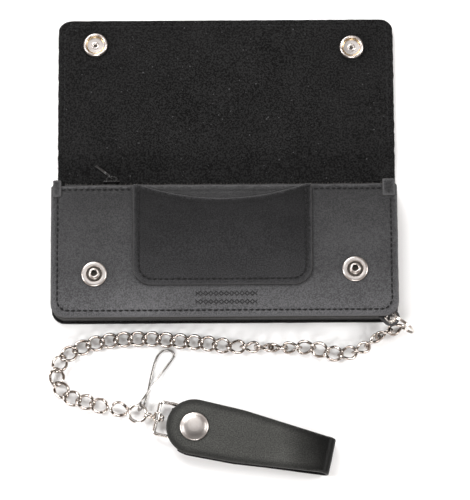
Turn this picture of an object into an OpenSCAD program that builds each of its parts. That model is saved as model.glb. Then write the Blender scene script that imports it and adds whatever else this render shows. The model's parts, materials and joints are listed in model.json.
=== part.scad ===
// Chain wallet: a long snap wallet with a zipped coin pocket, a curb chain,
// a key clip and a belt strap. It lies open, flap away from the strap.
// The origin is the middle of the wallet's resting face; +Y points to the flap.

/* [Wallet] */
// Width of the front panel
panel_w = 184; // [180:0.5:188]
// Height of the front panel
panel_h = 72; // [70:0.5:74]
// Thickness of the outer leather
leather_t = 2; // [1.8:0.1:2]
// Thickness of the inner leather
lining_t = 1; // [0.8:0.1:1.2]
// Radius of the sewn corners
corner_r = 7.5; // [7:0.5:9]
// Clear height of the note pocket
note_gap = 4.6; // [4.5:0.1:4.8]
// Clear height of the coin pocket
coin_gap = 4.8; // [4.7:0.1:4.9]

/* [Flap] */
// Left edge of the flap
flap_left = -89; // [-91:0.5:-88]
// Right edge of the flap
flap_right = 91.5; // [88:0.5:92]
// Far edge of the open flap
flap_end = 131; // [128:0.5:134]
// Height of the open flap above the table
flap_lift = 1.8; // [1.6:0.1:1.9]

/* [Card pocket] */
// Left edge of the card pocket
card_left = -48.5; // [-52:0.5:-46]
// Right edge of the card pocket
card_right = 46.5; // [44:0.5:50]
// Lower edge of the card pocket
card_low = -19; // [-22:0.5:-16]
// Depth of the thumb curve in its upper edge
thumb_depth = 8; // [6:0.5:10]

/* [Stitching] */
// Distance of the stitch rows from the edge
stitch_in = 3.4; // [3:0.1:4]
// Length from one stitch to the next
stitch_pitch = 3.15; // [2.8:0.05:3.6]

/* [Chain] */
// Half length of a link's wire centreline
link_a = 4.7; // [4.65:0.01:4.75]
// Half width of a link's wire centreline
link_b = 3.6; // [3.5:0.05:3.7]
// Thickness of the link wire
link_wire = 1.6; // [1.4:0.05:1.6]
// Length from one link to the next
link_pitch = 7.5; // [7.45:0.01:7.55]

/* [Belt strap] */
// Direction of the strap, seen from above
strap_turn = -12.5; // [-14:0.5:-11]
// Radius of the strap's round head
head_r = 14.8; // [14:0.1:15.5]
// Width of the strap at its fold
fold_w = 19.6; // [18:0.2:22]
// Thickness of the strap leather
strap_t = 1.8; // [1.7:0.1:1.8]

/* [Hidden] */
$fn = 64;

half_w = panel_w / 2;
low_y = -panel_h / 2;
top_y = panel_h / 2;
// Heights of the layers, from the table up
divider_z = leather_t + note_gap;
coin_z = divider_z + lining_t;
front_z = coin_z + coin_gap;
face_z = front_z + leather_t;
card_t = 1.6;
thread = 0.35;
// The fold lines of the flap: the back turns up at one, the flap turns over at the other
fold_a = [44.9, leather_t];
fold_b = [61, flap_lift + leather_t];
crease = 0.2;
// Snap places: the left pair sits a little further from the fold than the right pair
snaps_front = [[-69.1, -12.7], [69.2, -10.7]];
snaps_flap = [[-69.1, 116.8], [69.2, 114.8]];
snap_r = 6.75;
cap_r = 7.5;
socket_r = 6.5;
post_r = 1.2;
post_hole = 1.3;

black = [0.1, 0.1, 0.11];
suede = [0.16, 0.16, 0.17];
inner = [0.13, 0.12, 0.12];
cloth = [0.06, 0.06, 0.06];
nickel = [0.78, 0.76, 0.73];
brass = [0.72, 0.6, 0.38];

// A plate outline with its own radius for the lower and for the upper corners
module plate(x0, x1, y0, y1, low_r, up_r) {
    translate([x0, y0 + low_r]) square([x1 - x0, y1 - y0 - low_r - up_r]);
    translate([x0 + low_r, y0]) square([x1 - x0 - 2 * low_r, low_r + 0.01]);
    translate([x0 + up_r, y1 - up_r - 0.01]) square([x1 - x0 - 2 * up_r, up_r + 0.01]);
    for (x = [x0 + low_r, x1 - low_r]) translate([x, y0 + low_r]) circle(low_r);
    for (x = [x0 + up_r, x1 - up_r]) translate([x, y1 - up_r]) circle(up_r);
}

module slab(z, t) { translate([0, 0, z]) linear_extrude(t) children(); }

module holes(places, r) { for (p = places) translate(p) circle(r); }

// ---- Outer cover, inner leather ----

module back_cover() {
    color(black) slab(0, leather_t)
        plate(-half_w, half_w, low_y - 0.6, fold_a[0] - crease, corner_r, 0.5);
}

// One run of an accordion gusset: two leaves joined by a fold that points inward
module gusset_profile(height, reach) {
    leaf = lining_t;
    difference() {
        square([reach, height]);
        translate([leaf, leaf]) square([reach, height - 2 * leaf]);
    }
}

// The gusset goes down one side, round the lower corners and up the other side
module gusset(height, end_y) {
    reach = corner_r - 1.5;
    edge = 0.6;
    tip = corner_r - edge - reach;
    x_in = half_w - corner_r;
    y_in = low_y + corner_r;
    for (side = [0, 1]) mirror([side, 0, 0]) {
        translate([x_in + tip, end_y, 0]) rotate([90, 0, 0])
            linear_extrude(end_y - y_in) gusset_profile(height, reach);
        translate([x_in, y_in, 0]) rotate([0, 0, -90])
            rotate_extrude(angle = 90) translate([tip, 0]) gusset_profile(height, reach);
    }
    translate([-x_in, y_in - tip, 0]) rotate([90, 0, 90]) mirror([1, 0, 0])
        linear_extrude(2 * x_in) gusset_profile(height, reach);
}

module note_gusset() { color(inner) translate([0, 0, leather_t]) gusset(note_gap, top_y + 1); }

module pocket_divider() {
    color(inner) slab(divider_z, lining_t)
        plate(-half_w + 0.6, half_w - 0.6, low_y + 0.6, top_y + 1.2, corner_r - 0.6, 0.5);
}

module coin_gusset() { color(inner) translate([0, 0, coin_z]) gusset(coin_gap, top_y - 1); }

module front_panel() {
    color(black) slab(front_z, leather_t) difference() {
        plate(-half_w, half_w, low_y, top_y, corner_r, 1.2);
        holes(snaps_front, post_hole);
    }
}

// The card pocket's upper edge is one wide arc, so a thumb can reach a card
module card_outline(inset) {
    mid = (card_left + card_right) / 2;
    half_chord = 45;
    arc_r = (half_chord * half_chord + thumb_depth * thumb_depth) / (2 * thumb_depth);
    difference() {
        plate(card_left + inset, card_right - inset, card_low + inset, top_y, 10 - inset, 0.5);
        translate([mid, top_y - thumb_depth + arc_r]) circle(arc_r, $fn = 256);
    }
}

module card_pocket() { color(black) slab(face_z, card_t) card_outline(0); }

// ---- Thread ----

// A row of stitches between two points, each a flat bar on the leather
module stitch_row(a, b) {
    run = norm(b - a);
    count = round(run / stitch_pitch);
    step = run / count;
    heading = atan2(b[1] - a[1], b[0] - a[0]);
    translate(a) rotate([0, 0, heading])
        for (i = [0 : count - 1])
            translate([(i + 0.14) * step, -0.35, 0]) cube([0.72 * step, 0.7, thread]);
}

// A quarter turn of stitches about a corner centre, from one heading to the next
module stitch_turn(centre, r, from) {
    count = round(r * PI / 2 / stitch_pitch);
    for (i = [0 : count - 1])
        translate(centre) rotate([0, 0, from + (i + 0.5) * 90 / count]) translate([r, 0, 0])
            translate([-0.35, -0.36 * stitch_pitch, 0]) cube([0.7, 0.72 * stitch_pitch, thread]);
}

// Stitches down one side, along the lower edge and up the other side
module stitch_u(x0, x1, y0, y1, r) {
    stitch_row([x0, y1], [x0, y0 + r]);
    stitch_turn([x0 + r, y0 + r], r, 180);
    stitch_row([x0 + r, y0], [x1 - r, y0]);
    stitch_turn([x1 - r, y0 + r], r, 270);
    stitch_row([x1, y0 + r], [x1, y1]);
}

module edge_stitching() {
    color(cloth) translate([0, 0, face_z])
        stitch_u(-half_w + stitch_in, half_w - stitch_in, low_y + stitch_in, top_y - 4,
            corner_r - stitch_in + 1.5);
}

module mouth_stitching() {
    y = top_y - 2.4;
    color(cloth) translate([0, 0, face_z]) {
        stitch_row([-half_w + 5, y], [card_left - 1, y]);
        stitch_row([card_right + 1, y], [half_w - 5, y]);
    }
}

module card_pocket_stitching() {
    color(cloth) translate([0, 0, face_z + card_t])
        stitch_u(card_left + 3, card_right - 3, card_low + 3.2, top_y - 3, 7.4);
}

module flap_stitching() {
    x0 = flap_left + stitch_in;
    x1 = flap_right - stitch_in;
    y1 = flap_end - stitch_in;
    r = 4.2;
    color(cloth) translate([0, 0, flap_lift + leather_t]) {
        stitch_row([x0, fold_b[0] + 3], [x0, y1 - r]);
        stitch_row([x0 + r, y1], [x1 - r, y1]);
        stitch_row([x1, fold_b[0] + 3], [x1, y1 - r]);
        stitch_turn([x0 + r, y1 - r], r, 90);
        stitch_turn([x1 - r, y1 - r], r, 0);
    }
}

// ---- Snaps ----

// Male half: a bevelled flange with a hollow button
module snap_stud(flange) {
    rotate_extrude() polygon([[post_hole, 0], [flange, 0], [flange, 0.35], [flange - 0.5, 0.75],
        [3.2, 0.75], [2.4, 1.1], [2.55, 2.2], [2.2, 2.6], [post_hole, 2.6]]);
}

// Hollow rivet that holds the male half, with its flange under the leather
module snap_post(under, flange) {
    rotate_extrude() polygon([[0.8, -under - 0.6], [flange, -under - 0.6],
        [flange, -under - 0.15], [flange - 0.4, -under], [post_r, -under],
        [post_r, 2.6], [0.8, 2.6]]);
}

// Female half: a rolled rim round a recess, with a groove for the spring
module snap_socket() {
    rotate_extrude() polygon([[2.3, 0], [socket_r - 0.4, 0], [socket_r, 0.4],
        [socket_r, 2], [socket_r - 0.7, 2.8], [socket_r - 1.7, 2.8], [4.2, 2.3],
        [3, 2.3], [3, 2.05], [3.6, 2.05], [3.6, 1.15], [3, 1.15], [3, 0.5], [2.3, 0.5]]);
}

module snap_spring() {
    translate([0, 0, 1.6]) rotate_extrude(angle = 330) translate([3.2, 0]) circle(0.3, $fn = 16);
}

// Domed cap with the post that goes through the leather and is rolled in the socket
module snap_cap(through, dome) {
    skirt = 0.3;
    cap_sphere = (cap_r * cap_r + (dome - skirt) * (dome - skirt)) / (2 * (dome - skirt));
    intersection() {
        translate([0, 0, -dome]) cylinder(dome, cap_r, cap_r);
        translate([0, 0, cap_sphere - dome]) sphere(cap_sphere + 0.001, $fn = 200);
    }
    rotate_extrude() polygon([[0, -0.1], [1.5, -0.1], [1.5, through], [2.1, through + 0.1],
        [2.1, through + 0.7], [0.9, through + 0.7], [0.9, through - 1], [0, through - 1]]);
}

module front_studs() {
    color(nickel) for (p = snaps_front) translate([p[0], p[1], face_z]) snap_stud(snap_r);
}

module front_stud_posts() {
    color(nickel) for (p = snaps_front) translate([p[0], p[1], face_z]) snap_post(leather_t, 4.4);
}

module flap_caps() {
    color(nickel) for (p = snaps_flap) translate([p[0], p[1], flap_lift])
        snap_cap(leather_t, flap_lift);
}

module flap_sockets() {
    color(nickel) for (p = snaps_flap) translate([p[0], p[1], flap_lift + leather_t])
        snap_socket();
}

module flap_socket_springs() {
    color(brass) for (p = snaps_flap) translate([p[0], p[1], flap_lift + leather_t])
        snap_spring();
}

// ---- Flap ----

// The band rises from the table to the lifted flap between the two fold lines
module spine_band() {
    y0 = fold_a[0] + crease;
    y1 = fold_b[0] - crease;
    color(suede) translate([flap_left, 0, 0]) rotate([90, 0, 90])
        linear_extrude(flap_right - flap_left)
            polygon([[y0, 0], [y1, flap_lift], [y1, flap_lift + leather_t], [y0, leather_t]]);
}

module flap_leather() {
    color(suede) slab(flap_lift, leather_t) difference() {
        plate(flap_left, flap_right, fold_b[0] + crease, flap_end, 0.5, 7);
        holes(snaps_flap, 1.55);
    }
}

// ---- Zipper ----

zip_y = 37;
zip_z = (coin_z + front_z) / 2;
zip_half = 83;
slider_x = -60;

// Tape: one leg is sewn under the leather, the other carries the teeth
module tape(z_sewn, z_edge) {
    t = 0.6;
    low = min(z_sewn, z_edge);
    rotate([90, 0, 90]) translate([0, 0, -zip_half - 2]) linear_extrude(2 * zip_half + 4) {
        translate([top_y - 9, z_sewn - (z_edge > z_sewn ? 0 : t)]) square([10 - t, t]);
        translate([zip_y - t, low]) square([t, abs(z_edge - z_sewn)]);
    }
}

module zipper_tape_front() { color(cloth) tape(front_z, zip_z + 0.9); }

module zipper_tape_rear() { color(cloth) tape(coin_z, zip_z - 0.9); }

module zipper_teeth() {
    tooth = 1.5;
    count = floor(2 * zip_half / tooth);
    color(brass) for (i = [0 : count - 1])
        translate([-zip_half + i * tooth, zip_y, zip_z + (i % 2 == 0 ? 0.35 : -1.15)])
            cube([0.9, 0.9, 0.8]);
}

module zipper_stops() {
    color(brass) for (side = [-1, 1])
        translate([side * (zip_half + 1.2) - 0.7, zip_y, zip_z - 1.3]) cube([1.4, 0.9, 2.6]);
}

module zipper_slider() {
    plate_gap = 1.25;
    color(black) translate([slider_x, zip_y, zip_z]) {
        translate([-4.5, plate_gap, -2.3]) cube([9, 0.9, 4.6]);
        translate([-4, -1.9, -1.2]) cube([8, 0.9, 2.4]);
        translate([-1.6, -1.1, -0.25]) cube([3.2, plate_gap + 1.2, 0.5]);
        // bridge that holds the pull
        translate([0, plate_gap + 0.9, -0.5]) linear_extrude(1) difference() {
            translate([-2.9, -0.01]) square([5.8, 2.7]);
            translate([-1.9, -0.1]) square([3.8, 1.9]);
        }
    }
}

pull_at = [slider_x, zip_y + 3.15];

// The pull hangs from its cross bar and its far end drops to the flap
module zipper_pull() {
    color(black) translate([pull_at[0], pull_at[1], zip_z]) rotate([0, 0, 135])
        rotate([90, 0, 0]) translate([0, 0, -0.5]) {
            difference() {
                linear_extrude(1) polygon([[0, 2], [4.4, 2], [12.6, -2.6], [12.6, -5],
                    [11.8, -5.2], [4, -2], [0, -2]]);
                translate([-1, -1, -1]) cube([4.6, 2, 3]);
            }
            translate([0, 1.2, 0.5]) rotate([90, 0, 0]) cylinder(2.4, 0.5, 0.5, $fn = 24);
        }
}

// ---- Chain tab and ring ----

ring_mid = [93.85, -40.35, 11.6];
ring_heading = -35;
ring_r = 7.2;
eyelet_at = [ring_mid[0] - ring_r * cos(ring_heading), ring_mid[1] - ring_r * sin(ring_heading)];
tab_z = 8.9;
tab_t = 2;

module chain_tab() {
    color(black) slab(tab_z, tab_t) difference() {
        union() {
            translate(eyelet_at) circle(4.6);
            translate(eyelet_at) rotate([0, 0, 135]) translate([-0.5, -4.6]) square([9.2, 9.2]);
        }
        translate(eyelet_at) circle(2.4);
        // the tab's root stops at the fold of the gusset it is sewn into
        plate(5.5 - half_w, half_w - 5.5, low_y + 5.5, top_y, corner_r - 5.5, 0.5);
    }
}

module tab_eyelet() {
    color(nickel) translate([eyelet_at[0], eyelet_at[1], tab_z]) rotate_extrude()
        polygon([[1.8, -0.3], [3.4, -0.3], [3.4, 0], [2.35, 0], [2.35, tab_t], [3.4, tab_t],
            [3.4, tab_t + 0.3], [1.8, tab_t + 0.3]]);
}

// Two turns of wire lying on each other, made as one ring with a parting groove
module split_ring() {
    color(nickel) translate(ring_mid) rotate([90, 0, ring_heading]) rotate_extrude()
        translate([ring_r, 0]) {
            translate([0, 0.36]) circle(0.42, $fn = 24);
            translate([0, -0.36]) circle(0.42, $fn = 24);
            translate([-0.3, -0.36]) square([0.6, 0.72]);
        }
}

// ---- Curb chain ----

// Heading of each link from the ring to the swivel, and its roll about its own length
link_heading = [200, 205, 220, 205, 190, 170, 160, 180, 182, 179, 177, 178, 176, 171, 172, 176,
    175, 174, 178, 181, 183, 188, 194, 201, 212, 243, 274, 305, 337, 350, 340, 355, 345];
link_roll = [112, 90, 68, 45, 22, 0, -22, -45, -67, -90, -112, -135, -157,
    -180, -180, -180, -180, -180, -180, -180, -180, -180, -180, -180, -180, -180, -180, -180,
    -180, -180, -180, -165, -140];
link_count = len(link_heading);
chain_start = [94.9, -39.65];
link_phi = 45;

flat_height = 2.45;
standing_rise = 2.1;

function rest_height(roll) = flat_height + standing_rise * abs(sin(roll));
function joint_height(i) = i == 0 ? rest_height(link_roll[0])
    : i == link_count ? rest_height(link_roll[link_count - 1])
    : (rest_height(link_roll[i - 1]) + rest_height(link_roll[i])) / 2;
function climb(i) = asin((joint_height(i + 1) - joint_height(i)) / link_pitch);
function along(i) = [cos(link_heading[i]) * cos(climb(i)), sin(link_heading[i]) * cos(climb(i)),
    sin(climb(i))];
function link_joint(i) = i == 0 ? [chain_start[0], chain_start[1], joint_height(0)]
    : link_joint(i - 1) + link_pitch * along(i - 1);

// The wire's centreline is an oval whose ends are twisted against each other
function twist(x) = link_phi * x / link_a;
function wire_at(t) = [link_a * cos(t), link_b * sin(t) * cos(twist(link_a * cos(t))),
    link_b * sin(t) * sin(twist(link_a * cos(t)))];
function unit(v) = v / norm(v);

module link() {
    rings = 18;
    sides = 8;
    points = [for (i = [0 : rings - 1]) let (t = i * 360 / rings, at = wire_at(t),
        run = unit(wire_at(t + 1) - wire_at(t - 1)),
        flat = [0, -sin(twist(at[0])), cos(twist(at[0]))],
        u = unit(cross(run, flat)), v = cross(run, u))
        for (j = [0 : sides - 1]) let (s = (j + 0.5) * 360 / sides)
            at + link_wire / 2 * (cos(s) * u + sin(s) * v)];
    faces = [for (i = [0 : rings - 1], j = [0 : sides - 1]) let (
        a = i * sides + j, b = i * sides + (j + 1) % sides,
        c = ((i + 1) % rings) * sides + (j + 1) % sides, d = ((i + 1) % rings) * sides + j)
        each [[a, b, c], [a, c, d]]];
    polyhedron(points, faces);
}

module chain_run(group) {
    color(nickel) for (i = [3 * group : 3 * group + 2]) {
        middle = (link_joint(i) + link_joint(i + 1)) / 2;
        translate(middle) rotate([0, 0, link_heading[i]]) rotate([0, -climb(i), 0])
            rotate([link_roll[i], 0, 0]) link();
    }
}

module chain_links_01() { chain_run(0); }
module chain_links_02() { chain_run(1); }
module chain_links_03() { chain_run(2); }
module chain_links_04() { chain_run(3); }
module chain_links_05() { chain_run(4); }
module chain_links_06() { chain_run(5); }
module chain_links_07() { chain_run(6); }
module chain_links_08() { chain_run(7); }
module chain_links_09() { chain_run(8); }
module chain_links_10() { chain_run(9); }
module chain_links_11() { chain_run(10); }

// ---- Swivel and key clip ----

strap_at = [-36, -88];
bar_z = 3.4;
eye_wire = 1;
shank_hole = 1.2;
eye_r = 4.6;
eye_x = 10.6;

module on_strap() { translate([strap_at[0], strap_at[1], 0]) rotate([0, 0, strap_turn]) children(); }

// A round wire eye whose shank turns in the strap ring's boss
module swivel_eye() {
    shank_x = eye_r - eye_x;
    head_x = 2.6;
    head_long = 1.2;
    collar_gap = 0.4;
    collar_long = 2.6;
    collar_r = 1.7;
    head_wide = 1.9;
    head_top = 1.5;
    color(nickel) on_strap() translate([0, 0, bar_z]) {
        translate([-eye_x, 0, 0]) rotate_extrude() translate([eye_r, 0]) circle(eye_wire);
        translate([shank_x, 0, 0]) rotate([0, 90, 0])
            cylinder(head_x + collar_gap - shank_x, eye_wire, eye_wire);
        translate([shank_x + collar_gap, 0, 0]) rotate([0, 90, 0])
            cylinder(collar_long, collar_r, collar_r);
        translate([head_x, 0, 0]) rotate([0, 90, 0]) cylinder(head_long, head_wide, head_top);
    }
}

// Route of the clip's spring wire: over the eye's wire, round the key loop and back under it
clip_route = [[-43.6, -79, 6.2], [-41.4, -75.5, 4.4], [-37.4, -69.2, 2.4], [-32.4, -61.9, 1],
    [-28.2, -56.2, 0.8], [-27, -53.7, 0.8], [-28.3, -51.8, 0.8], [-31, -51.2, 0.8],
    [-34, -52.2, 0.8], [-36.3, -55.4, 0.8], [-38.2, -61.4, 0.8], [-39.8, -68.7, 0.8],
    [-41.2, -75.5, 0.9], [-42.6, -79.6, 1.1], [-44.2, -82.6, 1.4], [-45.2, -84, 3],
    [-45.7, -84.2, 4.6], [-45.3, -82.5, 6.2], [-44.7, -80.8, 6.6]];
clip_wire = 1.2;

function spline(p0, p1, p2, p3, t) = 0.5 * (2 * p1 + (p2 - p0) * t
    + (2 * p0 - 5 * p1 + 4 * p2 - p3) * t * t + (3 * p1 - p0 - 3 * p2 + p3) * t * t * t);

module closed_wire(route, wire, parts, sides) {
    n = len(route);
    line = [for (i = [0 : n - 1], k = [0 : parts - 1])
        spline(route[(i + n - 1) % n], route[i], route[(i + 1) % n], route[(i + 2) % n], k / parts)];
    m = len(line);
    points = [for (i = [0 : m - 1]) let (
        run = unit(line[(i + 1) % m] - line[(i + m - 1) % m]),
        u = unit(cross(run, [0, 0.1, 1])), v = cross(run, u))
        for (j = [0 : sides - 1]) let (s = j * 360 / sides)
            line[i] + wire / 2 * (cos(s) * u + sin(s) * v)];
    faces = [for (i = [0 : m - 1], j = [0 : sides - 1]) let (
        a = i * sides + j, b = i * sides + (j + 1) % sides,
        c = ((i + 1) % m) * sides + (j + 1) % sides, d = ((i + 1) % m) * sides + j)
        each [[a, b, c], [a, c, d]]];
    polyhedron(points, faces);
}

module key_clip() { color(nickel) closed_wire(clip_route, clip_wire, 4, 8); }

// ---- Belt strap ----

ring_long = 10;
ring_half = 8.8;
strap_mid = -1.8;
snap_x = 20.5;
fold_x = 90;
upper_z = 7.6;
fold_r = (upper_z + strap_t) / 2;
stud_z = 2 * strap_t;

module bar(length) { cylinder(length, eye_wire, eye_wire); }

// The rectangular ring: four bars with round corners and a boss for the shank
module strap_ring() {
    bend = 1.6;
    boss_r = 2.2;
    boss_long = 4.8;
    color(nickel) on_strap() translate([0, 0, bar_z]) difference() {
        union() {
            for (x = [0, ring_long]) translate([x, ring_half - bend, 0]) rotate([90, 0, 0])
                bar(2 * (ring_half - bend));
            for (y = [-ring_half, ring_half]) translate([bend, y, 0]) rotate([0, 90, 0])
                bar(ring_long - 2 * bend);
            for (c = [[bend, ring_half - bend, 90], [ring_long - bend, ring_half - bend, 0],
                [bend, bend - ring_half, 180], [ring_long - bend, bend - ring_half, 270]])
                translate([c[0], c[1], 0]) rotate([0, 0, c[2]])
                    rotate_extrude(angle = 90) translate([bend, 0]) circle(eye_wire);
            translate([0, boss_long / 2, 0]) rotate([90, 0, 0]) cylinder(boss_long, boss_r, boss_r);
        }
        translate([-boss_long, 0, 0]) rotate([0, 90, 0])
            cylinder(2 * boss_long, shank_hole, shank_hole);
    }
}

module strap_outline(x0) {
    half_fold = fold_w / 2;
    shoulder_x = snap_x + 24;
    shoulder = head_r - 0.6;
    translate([0, strap_mid]) difference() {
        union() {
            translate([snap_x, 0]) circle(head_r);
            polygon([[snap_x + 0.6, head_r - 0.2], [shoulder_x, shoulder],
                [fold_x, half_fold], [fold_x, -half_fold], [shoulder_x, -shoulder],
                [snap_x + 0.6, 0.2 - head_r]]);
        }
        translate([x0 - 60, -40]) square([60, 80]);
    }
}

// The lower leaf: its tongue goes round the ring's bar and comes back over itself
module strap_lower_leaf() {
    tongue = 13;
    inside = bar_z - strap_t;
    color(black) on_strap() difference() {
        union() {
            slab(0, strap_t) strap_outline(14);
            translate([0, tongue / 2, 0]) rotate([90, 0, 0]) linear_extrude(tongue) difference() {
                union() {
                    translate([ring_long, bar_z]) circle(bar_z);
                    translate([ring_long, 0]) square([6, strap_t]);
                    polygon([[ring_long, bar_z + inside], [ring_long, 2 * bar_z],
                        [ring_long + 1.2, 2 * bar_z - 0.3], [15.4, stud_z],
                        [31, stud_z], [31, strap_t], [14.6, strap_t]]);
                }
                translate([ring_long, bar_z]) circle(inside);
            }
        }
        translate([snap_x, strap_mid, -1]) cylinder(8, post_hole, post_hole);
    }
}

module strap_stud() {
    color(nickel) on_strap() translate([snap_x, strap_mid, stud_z]) snap_stud(5);
}

module strap_stud_post() {
    color(nickel) on_strap() translate([snap_x, strap_mid, stud_z]) rotate_extrude()
        polygon([[0.8, 0.6 - stud_z], [post_r, 0.6 - stud_z], [post_r, 2.6], [0.8, 2.6]]);
}

module strap_fold() {
    color(black) on_strap() translate([fold_x, strap_mid + fold_w / 2, fold_r]) rotate([90, 0, 0])
        rotate([0, 0, -90]) linear_extrude(fold_w) difference() {
            circle(fold_r);
            circle(fold_r - strap_t);
            translate([-10, -20]) square([20, 20]);
        }
}

module strap_upper_leaf() {
    color(black) on_strap() slab(upper_z, strap_t) difference() {
        strap_outline(5.8);
        translate([snap_x, strap_mid]) circle(1.55);
    }
}

module strap_cap() {
    color(nickel) on_strap() translate([snap_x, strap_mid, upper_z + strap_t]) mirror([0, 0, 1])
        snap_cap(strap_t, 2);
}

module strap_socket() {
    color(nickel) on_strap() translate([snap_x, strap_mid, upper_z]) mirror([0, 0, 1])
        snap_socket();
}

module strap_socket_spring() {
    color(brass) on_strap() translate([snap_x, strap_mid, upper_z]) mirror([0, 0, 1])
        snap_spring();
}

back_cover();
note_gusset();
pocket_divider();
coin_gusset();
front_panel();
card_pocket();
edge_stitching();
mouth_stitching();
card_pocket_stitching();
zipper_tape_front();
zipper_tape_rear();
zipper_teeth();
zipper_stops();
front_studs();
front_stud_posts();
chain_tab();
tab_eyelet();
spine_band();
flap_leather();
flap_stitching();
flap_caps();
flap_sockets();
flap_socket_springs();
zipper_slider();
zipper_pull();
split_ring();
chain_links_01();
chain_links_02();
chain_links_03();
chain_links_04();
chain_links_05();
chain_links_06();
chain_links_07();
chain_links_08();
chain_links_09();
chain_links_10();
chain_links_11();
swivel_eye();
key_clip();
strap_ring();
strap_lower_leaf();
strap_stud();
strap_stud_post();
strap_fold();
strap_upper_leaf();
strap_cap();
strap_socket();
strap_socket_spring();
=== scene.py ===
# %% [markdown]
# A long snap wallet in black leather, lying open, with a curb chain and a belt strap.
# The size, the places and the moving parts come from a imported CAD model, which this script
# loads first. Everything made below is dressing on that frame: soft leather, thread, nickel.

# %% Load the frame
import json
import math
import mathutils
import bpy
import numpy as np
from mathutils import Matrix, Vector


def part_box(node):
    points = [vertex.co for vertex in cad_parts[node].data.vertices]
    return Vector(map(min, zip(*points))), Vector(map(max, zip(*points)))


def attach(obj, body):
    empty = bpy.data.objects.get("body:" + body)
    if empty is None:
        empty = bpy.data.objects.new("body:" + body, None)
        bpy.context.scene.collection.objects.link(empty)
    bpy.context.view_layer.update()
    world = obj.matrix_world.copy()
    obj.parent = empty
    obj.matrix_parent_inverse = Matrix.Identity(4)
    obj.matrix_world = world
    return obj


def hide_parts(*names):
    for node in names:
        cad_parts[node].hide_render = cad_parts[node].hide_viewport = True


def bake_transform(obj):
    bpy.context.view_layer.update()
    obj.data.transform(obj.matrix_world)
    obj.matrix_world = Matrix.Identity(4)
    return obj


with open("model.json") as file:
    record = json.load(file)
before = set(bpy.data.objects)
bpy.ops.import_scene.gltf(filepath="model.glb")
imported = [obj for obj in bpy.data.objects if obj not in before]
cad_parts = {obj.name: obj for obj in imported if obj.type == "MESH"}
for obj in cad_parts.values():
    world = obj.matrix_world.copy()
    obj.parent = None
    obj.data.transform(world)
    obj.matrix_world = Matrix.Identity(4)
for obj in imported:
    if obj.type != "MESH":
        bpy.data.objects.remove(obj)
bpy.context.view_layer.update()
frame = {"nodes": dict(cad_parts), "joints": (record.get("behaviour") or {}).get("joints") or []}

MM = 0.001

# %% [markdown]
# All shapes below are worked out in millimetres, the unit a leather worker's ruler shows, and
# turned into metres only when the mesh is made. A node's box gives the lowest and highest corner
# of one piece of the real object, so its layers can be read off instead of being typed again.

# %% Read the layers of the wallet
def corners(node):
    """lowest and highest corner of a CAD node in millimetres"""
    low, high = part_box(node)
    return np.array(low) / MM, np.array(high) / MM


panel_low, panel_high = corners("front_panel")
card_low, card_high = corners("card_pocket")
cover_low, cover_high = corners("back_cover")
divider_low, divider_high = corners("pocket_divider")
flap_low, flap_high = corners("flap_leather")
print("front panel", (panel_high - panel_low).round(1), "flap", (flap_high - flap_low).round(1))

# %% [markdown]
# The object is looked at from almost straight above, slightly from the strap's side, through a
# long lens so that edges stay parallel. The camera is placed first because every later choice of
# detail depends on how large a stitch or a link shows in it.

# %% Camera
camera_data = bpy.data.cameras.new("camera")
camera = bpy.data.objects.new("camera", camera_data)
bpy.context.collection.objects.link(camera)
camera_data.sensor_fit = "HORIZONTAL"
camera_data.sensor_width = 36
camera_data.lens = 280.8
look_at = Vector((0.00562, 0.00357, 0))
reach = 1.9586
tilt, roll = math.radians(90 - 76), math.radians(-0.35)
camera.location = look_at + reach * Vector((0, -math.sin(tilt), math.cos(tilt)))
camera.rotation_euler = (Vector((0, 0, 1)).rotation_difference(camera.location - look_at).to_matrix()
                         @ Matrix.Rotation(roll, 3, "Z")).to_euler()
bpy.context.scene.camera = camera
bpy.context.scene.view_settings.view_transform = "Standard"
print("camera at", [round(c, 3) for c in camera.location])

# %% [markdown]
# A soft box high behind the wallet gives the gentle sheen on the leather and lets the shadows
# fall towards the strap. The room around it is bright above and warm and dim at the sides, which
# polished nickel needs, because metal only shows what it reflects.

# %% Table, soft boxes and room
def soft_box(name, place, aim, size, power, colour=(1, 1, 1)):
    data = bpy.data.lights.new(name, "AREA")
    data.shape = "RECTANGLE"
    data.size, data.size_y = size
    data.energy = power
    data.color = colour
    lamp = bpy.data.objects.new(name, data)
    lamp.location = place
    lamp.rotation_euler = (Vector(place) - Vector(aim)).to_track_quat("Z", "Y").to_euler()
    bpy.context.collection.objects.link(lamp)
    return lamp


soft_box("window light", (-0.5, 1.05, 0.95), (0, 0, 0), (0.9, 0.6), 18)
soft_box("left fill", (-1.25, -0.1, 0.8), (0, 0, 0), (0.5, 0.8), 16)
soft_box("right fill", (1.25, 0.1, 0.8), (0, 0, 0), (0.5, 0.8), 16)
soft_box("front fill", (0.1, -1.35, 0.8), (0, 0, 0), (0.9, 0.4), 14)
soft_box("sheen light", (0.0, 0.16, 0.62), (0, 0.0, 0), (0.36, 0.42), 0.50)

table_mesh = bpy.data.meshes.new("table")
table_mesh.from_pydata([(-2, -2, 0), (2, -2, 0), (2, 2, 0), (-2, 2, 0)], [], [(0, 1, 2, 3)])
table = bpy.data.objects.new("table", table_mesh)
bpy.context.collection.objects.link(table)

# %% [markdown]
# Materials are built from nodes by a few small helpers: one adds a node and fills its sockets,
# one does arithmetic, one mixes two colours and one bends a value along a ramp. Surface position
# is taken in object space and scaled to millimetres, so every pattern size below is a real size.

# %% Node helpers
def add(tree, kind, sockets=None, **settings):
    item = tree.nodes.new(kind)
    for key, value in settings.items():
        setattr(item, key, value)
    for key, value in (sockets or {}).items():
        if isinstance(value, bpy.types.NodeSocket):
            tree.links.new(value, item.inputs[key])
        else:
            item.inputs[key].default_value = value
    return item


def calc(tree, operation, *values, clamp=False):
    return add(tree, "ShaderNodeMath", dict(enumerate(values)), operation=operation,
               use_clamp=clamp).outputs[0]


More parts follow.
